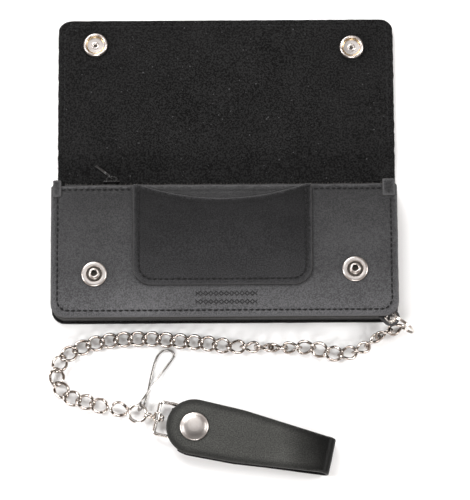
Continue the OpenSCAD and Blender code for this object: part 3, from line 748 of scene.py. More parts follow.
# %% Outer cover and flap
flap_lift = flap_low[2]
hide = cover_high[2] - cover_low[2]


def ease(t):
    t = np.clip(t, 0, 1)
    return t * t * (3 - 2 * t)


def hide_rise(y):
    """how far the lower face of the hide is above the table"""
    return flap_lift * ease((y - 43.5) / 19.0)


def hide_edges(x, y):
    """the cover is cut a little wider than the flap"""
    t = ease((y - 37.6) / 2.2)
    left = cover_low[0] * (1 - t) + flap_low[0] * t
    right = cover_high[0] * (1 - t) + flap_high[0] * t
    share = (x - cover_low[0]) / (cover_high[0] - cover_low[0])
    ragged = 0.18 * np.sin(y * 0.9) * np.sin(y * 0.23 + 1) * (y > 46)
    return left + (right - left) * share + ragged * np.where(share < 0.5, 1,
                                                             -1) * np.abs(share * 2 - 1) ** 8, y


whole = (cover_low[0], cover_high[0], cover_low[1], flap_high[1])
mid_spine = 53.0
hide_radii = (7.5, 7.0)


def groove(d, at=3.4, deep=0.16, wide=0.55):
    return -deep * np.exp(-((d - at) / wide) ** 2)


def hide_top(x, y, d):
    open_part = ease((y - 60) / 4)
    return hide_rise(y) + groove(d) * open_part + open_part * waves(x, y, 5, 60, 0.12) * ease(d / 8)


def hide_under(x, y, d):
    open_part = ease((y - 60) / 4)
    return hide_rise(y) - groove(d) * open_part + open_part * waves(x, y, 6, 50, 0.06) * ease(d / 8)


common = dict(radii=hide_radii, low=0.0, high=hide, edge_r=0.55, rise=hide_top, sink=hide_under,
              move=hide_edges, edge_box=whole, rough=0.05)
back_part = leather_sheet((whole[0], whole[1], whole[2], mid_spine), step=4.0, seed=11,
                          extra_y=np.arange(37.0, mid_spine, 0.6), **{**common, "radii": (7.5, 0.01)})
cover_back = back_part.build("cover_back", "wallet", (suede, cut_edge, cover_leather), "cover_leather",
                             ("back_cover", "spine_band"), rides=False)
flap_part = leather_sheet((whole[0], whole[1], mid_spine, whole[3]), step=2.4, seed=12,
                          extra_y=np.arange(mid_spine, 67, 0.7), **{**common, "radii": (0.01, 7.0)})
cover_flap = flap_part.build("cover_flap", "flap", (suede, cut_edge, cover_leather), "flesh_side",
                             ("flap_leather",), rides=False)
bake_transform(cover_back)
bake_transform(cover_flap)

# %% [markdown]
# Gussets. The two pockets open like an accordion: a strip of thin soft leather runs down one side,
# round the bottom and up the other, folded inwards along its middle. The strip is a profile swept
# along that route, with slow waves so that the fold looks handled and not machined.

# %% Gussets
def gusset_route(x_in, y_in, y_end, step=3.0):
    """centres and outward directions down the left side, along the bottom and up the right side"""
    spots = [((-x_in, y), (-1, 0)) for y in np.arange(y_end, y_in, -step)]
    spots += [((-x_in, y_in), (-math.cos(a), -math.sin(a))) for a in np.linspace(0, math.pi / 2, 9)]
    spots += [((x, y_in), (0, -1)) for x in np.arange(-x_in + step, x_in, step)]
    spots += [((x_in, y_in), (math.sin(a), -math.cos(a))) for a in np.linspace(0, math.pi / 2, 9)]
    spots += [((x_in, y), (1, 0)) for y in np.append(np.arange(y_in + step, y_end, step), y_end)]
    return np.array([c for c, _ in spots], float), np.array([n for _, n in spots], float)


def folded_strip(bottom, top, out, inside, thick=0.9):
    """profile of the strip: out along one leaf, round the fold, back along the other"""
    half = (top - bottom - thick) / 2
    middle = (bottom + top) / 2
    turn = np.linspace(-math.pi / 2, math.pi / 2, 9)
    line = [(out, bottom + thick / 2), ((out + inside) / 2 + 1, bottom + thick / 2 + 0.25)]
    line += [(inside + half * 0.8 * (1 - math.cos(a)), middle + half * math.sin(a)) for a in turn]
    line += [((out + inside) / 2 + 1, top - thick / 2 - 0.25), (out, top - thick / 2)]
    line = np.array(line)
    run = unit(np.gradient(line, axis=0))
    normal = np.stack([-run[:, 1], run[:, 0]], 1)
    return np.concatenate([line + normal * thick / 2, (line - normal * thick / 2)[::-1]])


def gusset(name, bottom, top, y_end, node):
    r = 7.5
    centres, outward = gusset_route(panel_high[0] - r, panel_low[1] + r, y_end)
    profile = folded_strip(bottom, top, 6.9, 1.5)
    n, m = len(centres), len(profile)
    s = np.arange(n)
    wobble = 0.25 * np.sin(s * 0.37 + bottom) + 0.15 * np.sin(s * 0.11)
    free = ease((6.0 - profile[:, 0]) / 4)
    out = profile[None, :, 0] + wobble[:, None] * free[None]
    points = np.concatenate([centres[:, None] + outward[:, None] * out[..., None],
                             np.broadcast_to(profile[None, :, 1:], (n, m, 1))], 2)
    faces = band(n, m, wrap_across=True) + [tuple(range(m)), tuple(range((n - 1) * m, n * m))[::-1]]
    edge = np.tile(np.maximum(6.9 - profile[:, 0], 0) + 0.4, n)
    return Shape().add(points, faces, 0, edge).build(name, "wallet", (soft_leather,), "inner_leather",
                                                     (node,))


gusset("note_pocket_gusset", cover_high[2], divider_low[2], panel_high[1] + 1, "note_gusset")
gusset("coin_pocket_gusset", divider_high[2], panel_low[2], panel_high[1] - 1, "coin_gusset")

# %% [markdown]
# The divider between the pockets is a thin lining sheet. Only its upper edge and its cut sides
# are ever seen, as a line between the gussets.

# %% Pocket divider
box = (divider_low[0], divider_high[0], divider_low[1], divider_high[1])
leather_sheet(box, (6.9, 0.5), divider_low[2], divider_high[2], 6.0, 0.3, seed=21,
              rise=lambda x, y, d: waves(x, y, 8, 70, 0.06) * ease(d / 9),
              sink=lambda x, y, d: waves(x, y, 8, 70, 0.06) * ease(d / 9)
              ).build("divider", "wallet", (soft_leather, cut_edge, soft_leather), "inner_leather",
                      ("pocket_divider",))

# %% [markdown]
# Front panel. Outside its stitch row the leather is skived thinner into a bevel, coloured lighter
# by the rubbed band of its material, which there also stands for a painted highlight; the row
# itself pulls the surface down, each snap presses a shallow dish, and the mouth edge at the top
# bows a little because the card pocket is sewn over its middle.

# %% Front panel
stud_low, stud_high = corners("front_studs")
stud_r = (stud_high[1] - stud_low[1]) / 2 - 1.0
studs = np.array([[stud_low[0] + stud_r, stud_low[1] + stud_r],
                  [stud_high[0] - stud_r, stud_high[1] - stud_r]])
face_z = panel_high[2]


def panel_top(x, y, d):
    z = groove(d) - 0.35 * ease((3.2 - d) / 3.0) + waves(x, y, 3, 90, 0.10) * ease(d / 10)
    for sx, sy in studs:
        far = np.hypot(x - sx, y - sy)
        z = z - 0.22 * ease((9.5 - far) / 3.0)
    mouth = panel_high[1] - 2.4
    beside = (np.abs(x + 1) > 49)
    return z + beside * groove(y, mouth, 0.14, 0.5)


def panel_move(x, y):
    top = ease((y - 20) / 16)
    return x, y - top * 0.35 * np.exp(-((x + 82) / 9) ** 2) + top * 0.2 * np.exp(-((x - 84) / 8) ** 2)


box = (panel_low[0], panel_high[0], panel_low[1], panel_high[1])
front = leather_sheet(box, (7.5, 1.2), panel_low[2], panel_high[2], 2.4, 0.6, panel_top, move=panel_move,
                      seed=31, rough=0.03)
front.build("front_panel_leather", "wallet", (panel_leather, cut_edge, soft_leather), "cover_leather",
            ("front_panel",))

# %% [markdown]
# Card pocket. A flat patch sewn on three sides, with a wide thumb curve cut in its upper edge. The
# grid is bent so that its last row follows the curve; the mouth lifts a little and the middle puffs,
# since cards have stretched it. Its cut mouth edge is coloured pale: partly a pale polished edge,
# partly a painted highlight.

# %% Card pocket
card_box = (card_low[0], card_high[0], card_low[1], card_high[1])
card_mid = (card_low[0] + card_high[0]) / 2
half_chord, thumb = 45.0, 8.0
arc_r = (half_chord ** 2 + thumb ** 2) / (2 * thumb)


def mouth_line(x):
    inside = np.clip(np.abs(x - card_mid), 0, half_chord)
    return card_high[1] - thumb + arc_r - np.sqrt(arc_r ** 2 - inside ** 2)


def card_move(x, y):
    share = (y - card_low[1]) / (card_high[1] - card_low[1])
    return x, card_low[1] + share * (mouth_line(x) - card_low[1])


def card_top(x, y, d):
    side = np.minimum(np.minimum(x - card_low[0], card_high[0] - x), y - card_low[1])
    z = groove(side, 3.1, 0.15) - 0.25 * ease((2.8 - side) / 2.6)
    puff = ease((side - 3.5) / 16)
    return z + 0.5 * puff * ease((y - card_low[1]) / 40) + waves(x, y, 9, 40, 0.06) * puff


def card_under(x, y, d):
    side = np.minimum(np.minimum(x - card_low[0], card_high[0] - x), y - card_low[1])
    return 0.02 + 0.45 * ease((side - 3.5) / 16) * ease((y - card_low[1]) / 40)


pocket = leather_sheet(card_box, (10, 0.6), card_low[2], card_high[2], 2.0, 0.45, card_top, card_under,
                       card_move,
                       seed=41, rough=0.03, extra_x=(card_mid - half_chord, card_mid + half_chord))
rim = np.concatenate(pocket.points)
# faces along the mouth's cut edge take the pale edge colour, partly a painted highlight
pocket.finish = [3 if mark == 1 and all(rim[i][1] > mouth_line(rim[i][0]) - 0.3
                                        for i in face) and rim[face[0]][1] > 20
                 else mark for mark, face in zip(pocket.finish, pocket.faces)]
pocket.build("card_pocket_leather", "wallet", (card_leather, cut_edge, soft_leather, pale_edge),
             "cover_leather", ("card_pocket",))

# %% [markdown]
# Stitching. A saddle stitch shows as a row of short fat strokes of twisted thread, each diving
# into its hole. One stroke is a two-lobed tube that turns as it goes, so the twist is real and
# catches the light; the rows are walks along a path that drop a stroke at each step.

# %% Stitch helper
def stitch_rows(shape, paths, height, pitch=3.15, lift=0.2, up=1, wide=0.48):
    """adds strokes along each path of (x, y) points; height(x, y) is the leather's face"""
    for number, path in enumerate(paths):
        path = np.asarray(path, float)
        lengths = np.concatenate([[0], np.cumsum(np.linalg.norm(np.diff(path, axis=0), axis=1))])
        count = max(1, round(lengths[-1] / pitch))
        step = lengths[-1] / count
        dice = np.random.default_rng(100 + number)
        for k in range(count):
            ends = [(k + 0.1) * step, (k + 0.9) * step]
            a, b = [np.array([np.interp(s, lengths, path[:, 0]), np.interp(s, lengths, path[:, 1])])
                    for s in ends]
            skew = dice.normal(0, 0.06, 2)
            run = unit(b - a)
            across = np.array([-run[1], run[0]])
            t = np.linspace(0, 1, 9)
            spots = a + (b - a) * t[:, None] + across * (skew[0] * (1 - t) + skew[1] * t)[:, None]
            bow = np.sin(np.pi * t) ** 0.6
            z = height(spots[:, 0], spots[:, 1]) + up * (lift * 2.1 * bow - 0.28)
            r = wide * (0.55 + 0.45 * bow)
            turn = np.arange(8) * math.tau / 8
            lobes = 1 + 0.22 * np.cos(2 * (turn[None] - 5.0 * t[:, None]))
            ring = np.stack([np.cos(turn)[None] * lobes * r[:, None],
                             np.sin(turn)[None] * lobes * r[:, None] * 0.8], 2)
            flat = spots[:, None] + across[None, None] * ring[..., :1]
            points = np.concatenate([flat, (z[:, None] + up * ring[..., 1])[..., None]], 2)
            faces = band(9, 8, wrap_across=True)
            shape.add(points, faces if up > 0 else [f[::-1] for f in faces])
    return shape


def corner_turn(cx, cy, r, start, stop, parts=8):
    return [(cx + r * math.cos(a), cy + r * math.sin(a)) for a in np.linspace(math.radians(start),
                                                                              math.radians(stop), parts)]


def u_path(x0, x1, y0, y1, r):
    return [(x0, y1)] + corner_turn(x0 + r, y0 + r, r, 180, 270) + corner_turn(x1 - r, y0 + r, r, 270,
                                                                               360) + [(x1, y1)]


inset = 3.4


def on_panel(x, y):
    d = edge_distance(x, y, box, (7.5, 1.2))
    return face_z + panel_top(x, y, d)


rows = stitch_rows(Shape(), [u_path(panel_low[0] + inset, panel_high[0] - inset, panel_low[1] + inset,
                                    panel_high[1] - 4, 5.6)], on_panel)
rows.build("panel_edge_stitches", "wallet", (thread,), "thread", ("edge_stitching",))
mouth_y = panel_high[1] - 2.4
rows = stitch_rows(Shape(), [[(panel_low[0] + 5, mouth_y), (card_low[0] - 1, mouth_y)],
                             [(card_high[0] + 1, mouth_y), (panel_high[0] - 5, mouth_y)]], on_panel)
rows.build("mouth_stitches", "wallet", (thread,), "thread", ("mouth_stitching",))


def on_card(x, y):
    return card_high[2] + card_top(x, y, None)


rows = stitch_rows(Shape(), [u_path(card_low[0] + 3, card_high[0] - 3, card_low[1] + 3.1, card_high[1] - 2.5,
                                    7.4)], on_card)
rows.build("card_pocket_stitches", "wallet", (thread,), "thread", ("card_pocket_stitching",))

x0, x1, y1 = flap_low[0] + inset, flap_high[0] - inset, flap_high[1] - inset
flap_path = [(x0, 64.2)] + corner_turn(x0 + 4, y1 - 4, 4, 180, 90) + corner_turn(x1 - 4, y1 - 4, 4, 90,
                                                                                 0) + [(x1, 64.2)]


def on_flap(x, y):
    return flap_high[2] + groove(inset) + waves(x, y, 5, 60, 0.12) * 0.3


rows = stitch_rows(Shape(), [flap_path], on_flap, lift=0.13)
stitch_rows(rows, [flap_path], lambda x, y: flap_lift - groove(inset) + 0 * x, up=-1)
rows.build("flap_stitches", "flap", (thread,), "thread", ("flap_stitching",))

# %% [markdown]
# Corner turnings. At both ends of the mouth the zipper's lining is turned over the leather and
# sewn down, which leaves a small raised tab there. Each is its own scrap of leather.

# %% Corner turnings
for tag, left, right, seed in (("left", panel_low[0] + 1.0, panel_low[0] + 5.2, 21),
                               ("right", panel_high[0] - 7.6, panel_high[0] - 1.2, 22)):
    scrap = leather_sheet((left, right, panel_high[1] - 6.5, panel_high[1] + 2.6), (0.8, 0.8), face_z - 0.1,
                          face_z + 0.55, step=0.8, edge_r=0.3,
                          rise=lambda x, y, d: 0.10 * np.sin((x - y * 0.2)
                                                             * 2.6) * np.clip(d, 0, 1), rough=0.12, seed=seed)
    scrap.build(tag + "_corner_turning", "wallet", (panel_leather, cut_edge, suede), "cover_leather")

# %% [markdown]
# Zipper. Two cloth tapes stand behind the front panel's mouth with metal teeth along their
# meeting edges. Each tooth is cast with a nose and a dimple, so it is drawn as a small wedge
# with rounded shoulders, and the rows are set half a step apart.

# %% Zipper tapes and teeth
tape_low, tape_high = corners("zipper_tape_front")
rear_low, rear_high = corners("zipper_tape_rear")
teeth_low, teeth_high = corners("zipper_teeth")


def tape(name, z_sewn, z_edge, node):
    """an L of cloth: one leg lies under the leather, the other stands at the mouth"""
    t = 0.55
    y_back, y_front = tape_low[1], tape_high[1] - 0.3
    sign = 1 if z_edge > z_sewn else -1
    line = [(y_back, z_sewn + sign * t / 2), (y_front - 1.4, z_sewn + sign * t / 2),
            (y_front - 0.4, z_sewn + sign * (t / 2 + 0.15)),
            (y_front, z_sewn + sign * 0.9), (y_front, z_edge - sign * 0.5), (y_front, z_edge)]
    line = np.array(line)
    run = unit(np.gradient(line, axis=0))
    normal = np.stack([-run[:, 1], run[:, 0]], 1)
    outline = np.concatenate([line + normal * t / 2, (line - normal * t / 2)[::-1]])
    xs = np.linspace(tape_low[0], tape_high[0], 90)
    ripple = 0.12 * np.sin(xs * 0.35 + z_edge)
    points = np.stack([np.broadcast_to(xs[:, None], (90, len(outline))),
                       outline[None, :, 0] + ripple[:, None] * (outline[None, :, 0] > y_front - 1),
                       np.broadcast_to(outline[None, :, 1], (90, len(outline)))], 2)
    faces = band(90, len(outline), wrap_across=True)
    return Shape().add(points, faces).build(name, "wallet", (tape_cloth,), "zipper_cloth", (node,))


zip_z = (rear_high[2] + tape_low[2]) / 2
tape("front_tape", panel_low[2], zip_z + 0.9, "zipper_tape_front")
tape("rear_tape", divider_high[2], zip_z - 0.9, "zipper_tape_rear")

teeth = Shape()
wedge = np.array([[0.00, 0.1], [0.15, 0.0], [0.75, 0.0], [0.9, 0.12], [0.82, 0.62], [0.6, 0.8], [0.3, 0.8],
                  [0.08, 0.62]])
tooth_faces = [tuple(range(8))] + [(i, (i + 1) % 8 + 0, (i + 1) % 8 + 8,
                                    i + 8) for i in range(8)] + [tuple(range(15, 7, -1))]
for k, x in enumerate(np.arange(teeth_low[0], teeth_high[0] - 0.5, 1.5)):
    up = 1 if k % 2 == 0 else -1
    base = zip_z + (1.15 if up > 0 else -1.15)
    ring = lambda y, grow: np.stack([x + 0.45 + (wedge[:, 0] - 0.45) * grow, np.full(8, y),
                                     base - up * (wedge[:, 1] * 1.0)], 1)
    points = np.concatenate([ring(teeth_low[1] + 0.02, 0.9), ring(teeth_high[1] - 0.02, 1.0)])
    teeth.add(points, tooth_faces if up > 0 else [f[::-1] for f in tooth_faces])
teeth.build("zipper_teeth_cast", "wallet", (zip_metal,), "zipper_metal", ("zipper_teeth",))
for part in ("zipper_stops",):
    frame["nodes"][part].data.materials.clear()
    frame["nodes"][part].data.materials.append(zip_metal)

# %% [markdown]
# The slider is a painted casting: two plates, a post between them and a bridge that holds the
# pull. Blocks with softened edges are joined into one piece; the pull is a thin tapered tongue.

# %% Zipper slider and pull
def block(centre, size, soft=0.2, taper=1.0):
    """a cushion-edged block: a box whose every side is an inset panel"""
    x, y, z = np.array(size) / 2
    s = min(soft, x * 0.9, y * 0.9, z * 0.9)
    rings = []
    for dz, shrink in ((-z, s), (-z + s * 0.3, s * 0.3), (-z + s, 0), (z - s, 0), (z - s * 0.3, s * 0.3),
                       (z, s)):
        a, b = x - shrink, y - shrink
        k = (taper if dz > 0 else 1.0)
        c = min(s, a, b)
        loop = [(a, b - c), (a - c * 0.3, b - c * 0.3), (a - c, b), (c - a, b), (c * 0.3 - a, b - c * 0.3),
                (-a, b - c),
                (-a, c - b), (c * 0.3 - a,
                              c * 0.3 - b), (c - a, -b), (a - c, -b), (a - c * 0.3, c * 0.3 - b), (a, c - b)]
        rings += [(p * k, q * k, dz) for p, q in loop]
    points = np.array(rings) + np.array(centre)
    faces = band(6, 12, wrap_across=True) + [tuple(range(12))[::-1], tuple(range(60, 72))]
    return points, faces


slider_low, slider_high = corners("zipper_slider")
sx = (slider_low[0] + slider_high[0]) / 2
sy, sz = teeth_low[1], zip_z
slider = Shape()
slider.add(*block((sx, sy + 1.7, sz), (9, 0.9, 4.6), 0.35, 0.96)).add(*block((sx, sy - 1.45, sz),
                                                                             (8, 0.9, 2.4), 0.35))
slider.add(*block((sx, sy, sz), (3.0, 4.4, 0.5), 0.2))
bridge = smooth_line([(sx - 2.4, sy + 1.9, sz), (sx - 2.5, sy + 3.6, sz), (sx - 1.7, sy + 4.35, sz),
                      (sx + 1.7, sy + 4.35, sz),
                      (sx + 2.5, sy + 3.6, sz), (sx + 2.4, sy + 1.9, sz)], 5)
slider.add(*tube(bridge, 0.5, 10))
slider.build("slider_casting", "slider", (zip_paint,), "zipper_paint", ("zipper_slider",))

pull = Shape()
root = np.array([sx, sy + 3.15, sz])
way = np.array([math.cos(math.radians(135)), math.sin(math.radians(135)), 0])
flat = np.array([-way[1], way[0], 0])
spine_line = smooth_line([(1.6, 1.3), (4.2, 0.9), (7, -1.2), (10, -3.4), (12.3, -4.3)], 5)
n = len(spine_line)
half_h = np.interp(np.linspace(0, 1, n), [0, 0.2, 0.6, 0.92, 1], [0.5, 1.5, 1.9, 1.4, 0.7])
for_pull = root + way * spine_line[:, :1] + np.array([0, 0, 1]) * spine_line[:, 1:]
drop = unit(np.gradient(spine_line, axis=0))
edge_way = way[None] * -drop[:, 1:] + np.array([0, 0, 1.0]) * drop[:, :1]
turn = np.arange(14) * math.tau / 14
squared = lambda v: np.sign(v) * np.abs(v) ** 0.5
ring = for_pull[:, None] + edge_way[:, None] * (squared(np.sin(turn))[None, :,
                                                                      None] * half_h[:, None, None]) + flat * (squared(np.cos(turn))[None, :, None] * 0.8)
pull.add(ring, band(n, 14, wrap_across=True) + [tuple(range(14))[::-1], tuple(range((n - 1) * 14, n * 14))])
loop = smooth_line([root + way * a + np.array([0, 0, b]) for a,
                    b in ((-0.1, 1.25), (0.9, 1.75), (2.2, 1.5), (2.4, 0.6), (2.2, -1.2), (0.9, -1.6),
                          (-0.1, -1.2), (-0.75, 0.0))], 4, closed=True)
pull.add(*tube(loop, 0.42, 10, closed=True))
pull.build("pull_tongue", "pull", (zip_paint,), "zipper_paint", ("zipper_pull",))

# %% [markdown]
# Snaps. Each fastener has four parts: on the front panel a stud with a hollow rivet, on the flap a
# socket with a spring, and a domed cap on its outer side. They are spun from profiles; the
# stud's bevelled flange, the rolled rim of the socket and the dark bore are what the eye knows.
# The dark of the bores and of the channel round the stud's post is painted shade.

# %% Snaps
def stud(shape, centre, flange, z):
    outer = [(1.5, -0.1), (flange, -0.1), (flange, 0.35), (flange - 0.4, 0.8), (flange - 1.0, 0.92),
             (flange - 2.3, 0.88),
             (4.1, 0.3), (2.95, 0.25), (2.5, 0.7), (2.42, 1.2), (2.68, 2.1), (2.5, 2.62), (2.1, 2.75), (1.75, 2.6), (1.6, 2.2), (1.55, 0.4), (0.02, 0.35)]
    points, faces = turned(outer, (centre[0], centre[1], z), radius=0.16)
    far = np.array([np.hypot(*(points[list(f)].mean(0)[:2] - centre[:2])) for f in faces])
    low = np.array([points[list(f)][:, 2].mean() for f in faces]) - z
    # faces in the post's bore and in the channel round the post take the dark metal: painted shade
    mark = np.where(((far < 1.66) & (low < 2.3)) | ((far > 2.75) & (far < 4.3) & (low < 0.55)), 1, 0)
    return shape.add(points, faces, finish=mark.tolist())


def hollow_rivet(shape, centre, top, z_low, flange=0.0):
    inner = [(1.22, 0.0), (1.22, top - 0.25), (1.15, top), (0.95, top), (0.85, top - 0.4), (0.8, 0.0)]
    # the rivet's inside and its floor take the dark metal: painted shade in the bore
    shape.add(*turned([(r, z_low + h) for r, h in inner], (centre[0], centre[1], 0), radius=0.1, sides=40),
              finish=1)
    if flange:
        shape.add(*turned([(1.2, z_low + 0.6), (flange - 0.3, z_low + 0.6), (flange, z_low + 0.35),
                           (flange, z_low), (0.8, z_low)],
                          (centre[0], centre[1], 0), radius=0.1, sides=40), finish=0)
    floor = [(0.0, z_low + 0.3), (0.5, z_low + 0.3), (0.84, z_low + 0.35)]
    return shape.add(*turned(floor[::-1], (centre[0], centre[1], 0), sides=24), finish=1)


def socket(shape, centre, z, up=1):
    outer = [(1.5, -0.3), (6.1, 0.0), (6.5, 0.4), (6.5, 1.9), (6.15, 2.5), (5.75, 2.75), (5.3, 2.65),
             (5.05, 2.2),
             (4.95, 0.9), (4.7, 0.5), (1.8, 0.5), (1.6, 0.3), (1.5, -0.2)]
    floor = [(0.0, 0.16), (1.0, 0.16), (1.58, 0.2)]
    # the floor of the socket's bore takes the dark metal: painted shade
    shape.add(*turned([(r, z + up * h) for r, h in (floor[::-1] if up > 0 else floor)],
                      (centre[0], centre[1], 0), sides=32), finish=1)
    return shape.add(*turned([(r, z + up * h) for r, h in (outer if up > 0 else outer[::-1])],
                             (centre[0], centre[1], 0), radius=0.22))


def spring(shape, centre, z):
    turn = np.radians(np.linspace(15, 345, 48))
    line = np.stack([centre[0] + 4.65 * np.cos(turn), centre[1] + 4.65 * np.sin(turn), np.full(48, z)], 1)
    return shape.add(*tube(line, 0.3, 8))


def cap(shape, centre, z, out, up, through):
    """domed cap whose crown is out millimetres from z in direction up, with its post"""
    dome = [(0.0, out), (1.5, out * 0.985), (3.0, out * 0.94), (4.5, out * 0.84), (5.6, out * 0.70),
            (6.4, out * 0.56), (6.8, out * 0.50),
            (7.05, out * 0.50), (7.4, out * 0.42), (7.5, out
                                                    * 0.22), (7.4, 0.02), (6.6, 0.0), (1.5, 0.0), (1.5, -through), (2.1, -through - 0.15),
            (2.15, -through - 0.6), (1.7, -through - 0.75), (1.1, -through
                                                             - 0.7), (0.9, -through
                                                                      - 0.3), (0.85, -through + 1.0)]
    dome = [(r, z + up * h) for r, h in (dome if up < 0 else dome)]
    points, faces = turned(dome, (centre[0], centre[1], 0), radius=0.25, sides=72)
    faces = [f[::-1] for f in faces] if up > 0 else faces
    return shape.add(points, faces)


cap_low, cap_high = corners("flap_sockets")
socket_r = 6.5
sockets = np.array([[cap_low[0] + socket_r, cap_high[1] - socket_r],
                    [cap_high[0] - socket_r, cap_low[1] + socket_r]])
flange = 6.75
studs = np.array([[stud_low[0] + flange, stud_low[1] + flange],
                  [stud_high[0] - flange, stud_high[1] - flange]])
print("studs at", studs.round(2).tolist(), "sockets at", sockets.round(2).tolist())

panel_studs, rivets, flap_sockets, flap_springs, flap_caps = Shape(), Shape(), Shape(), Shape(), Shape()
for at in studs:
    stud(panel_studs, at, flange, face_z - 0.05)
    hollow_rivet(rivets, at, 2.2, panel_low[2] - 0.6, 4.4)
for at in sockets:
    socket(flap_sockets, at, flap_high[2])
    spring(flap_springs, at, flap_high[2] + 1.6)
    cap(flap_caps, at, flap_lift, flap_lift, -1, hide)
panel_studs.build("panel_stud_rings", "wallet", (satin_nickel, dark_bore), "nickel", ("front_studs",))
rivets.build("panel_rivets", "wallet", (nickel, dark_bore), "nickel", ("front_stud_posts",))
flap_sockets.build("flap_socket_rings", "flap", (satin_nickel, dark_bore), "nickel", ("flap_sockets",))
flap_springs.build("flap_spring_wires", "flap", (spring_brass,), "spring_steel", ("flap_socket_springs",))
flap_caps.build("flap_cap_domes", "flap", (satin_nickel,), "nickel", ("flap_caps",))

# %% [markdown]
# Chain tab. A short tongue of the same leather comes out of the gusset's corner, with an eyelet
# for the ring. It is a disc joined to a strip; rings of points shrink towards its middle so that
# its edge can be rounded like any other cut edge.

# %% Chain tab and eyelet
eye_low, eye_high = corners("tab_eyelet")
tab_low, tab_high = corners("chain_tab")
eyelet = (eye_low + eye_high) / 2
heading = math.radians(135)
tab_way = np.array([math.cos(heading), math.sin(heading)])
tab_side = np.array([-tab_way[1], tab_way[0]])


def tab_outline(grow):
    r = 4.6 * grow
    spots = [eyelet[:2] + r * (math.cos(a) * tab_way + math.sin(a) * tab_side)
             for a in np.linspace(math.pi / 2, 3 * math.pi / 2, 22)]
    spots += [eyelet[:2] + tab_way * t - tab_side * r for t in (1.5, 3.0, 4.6)]
    spots += [eyelet[:2] + tab_way * t + tab_side * r for t in (4.6, 3.0, 1.5)]
    return np.array(spots)


tab = Shape()
levels = [(0.52, tab_high[2]), (0.75, tab_high[2]), (0.9, tab_high[2] - 0.04), (0.97, tab_high[2] - 0.2),
          (1.0, tab_high[2] - 0.5),
          (1.01, (tab_low[2] + tab_high[2]) / 2), (1.0, tab_low[2] + 0.5), (0.97, tab_low[2]
                                                                            + 0.2), (0.9, tab_low[2] + 0.04), (0.75, tab_low[2]), (0.52, tab_low[2])]
points = np.concatenate([np.column_stack([tab_outline(g), np.full(28, z)]) for g, z in levels])
marks = [0] * 28 * 3 + [1] * 28 * 4 + [0] * 28 * 4
tab.add(points, [q[::-1] for q in band(len(levels), 28, wrap_across=True, wrap_rows=True)], marks[:28 * 11] ,
        np.repeat([3, 1.5, 0.8, 0.2, 0, 0, 0, 0.2, 0.8, 1.5, 3], 28))
tab.build("tab_leather", "wallet", (cover_leather, cut_edge), "cover_leather", ("chain_tab",))
rolled = [(1.85, 0), (2.0, -1.15), (2.6, -1.3), (3.3, -1.2), (3.4, -1.0), (2.35, -0.95), (2.35, 0.95),
          (3.4, 1.0), (3.3, 1.2), (2.6, 1.3), (2.0, 1.15), (1.85, 0)]
Shape().add(*turned(rolled, eyelet, radius=0.12, sides=40)).build("tab_eyelet_rolled", "wallet", (nickel,),
                                                                  "nickel", ("tab_eyelet",))

# %% [markdown]
# Split ring. The real ring is one wire wound twice round, so it is drawn as a two-turn line with
# a small step where one turn passes to the next, and cut ends.

# %% Split ring
ring_low, ring_high = corners("split_ring")
ring_mid = (ring_low + ring_high) / 2
ring_way = math.radians(-35)
ring_x = np.array([math.cos(ring_way), math.sin(ring_way), 0])
ring_axis = np.array([-math.sin(ring_way), math.cos(ring_way), 0])
turn = np.linspace(0.25, 0.25 + 2 * math.tau - 0.35, 120)
shift = -0.4 + 0.8 * ease((turn - 0.25 - math.tau * 0.92) / (math.tau * 0.16))
line = ring_mid + 7.2 * (np.cos(turn)[:, None] * ring_x + np.sin(turn)[:, None]
                         * np.array([0, 0, 1])) + shift[:, None] * ring_axis
Shape().add(*tube(line, 0.41, 12)).build("split_ring_wire", "tab_ring", (nickel,), "nickel", ("split_ring",))

# %% [markdown]
# Curb chain. A curb link is an oval of wire twisted so that its ends lie at an angle and the
# chain sleeps flat. The CAD model already hangs every link in place, so each smooth link is laid
# exactly on its coarse one: the middle and the three main directions of the coarse link are
# measured, and the fine link is drawn in them.

# %% Curb chain
def link_line(parts=40, a=4.7, b=3.6, twist=45):
    t = np.arange(parts) * math.tau / parts
    x = a * np.cos(t)
    lean = np.radians(twist * x / a)
    return np.stack([x, b * np.sin(t) * np.cos(lean), b * np.sin(t) * np.sin(lean)], 1)


def welded(mesh):
    """unique points of a mesh, and for each vertex the unique point it falls on"""
    points = np.array([v.co for v in mesh.vertices]) / MM
    keys, inverse = np.unique(points.round(4), axis=0, return_inverse=True)
    return keys, inverse.reshape(-1)


link_shape = link_line()
links_made = 0
for node in sorted(n for n in frame["nodes"] if n.startswith("chain_links_")):
    mesh = frame["nodes"][node].data
    keys, inverse = welded(mesh)
    owner = np.arange(len(keys))
    edges = inverse[np.array([e.vertices[:] for e in mesh.edges])]
    while True:
        low = np.minimum(owner[edges[:, 0]], owner[edges[:, 1]])
        new = owner.copy()
        np.minimum.at(new, edges[:, 0], low)
        np.minimum.at(new, edges[:, 1], low)
        new = new[new]
        if (new == owner).all():
            break
        owner = new
    shape = Shape()
    for k in np.unique(owner):
        part = keys[owner == k]
        middle = part.mean(0)
        size, axes = np.linalg.eigh(np.cov((part - middle).T))
        x, y = axes[:, 2], axes[:, 1]
        z = np.cross(x, y)
        line = middle + link_shape @ np.array([x, y, z])
        shape.add(*tube(line, 0.8, 14, closed=True))
        links_made += 1
    shape.build(node.replace("chain_links", "curb_links"), node.replace("chain_links", "chain"),
                (chain_nickel,), "chain_nickel", (node,))
print("links:", links_made)

# %% [markdown]
# Strap end. Everything beside the wallet's chain is turned a little on the table, so its points are
# given along and across the strap, and one helper turns and moves them into place. The angle and
# the start are read off the swivel's turning joint in model.json.

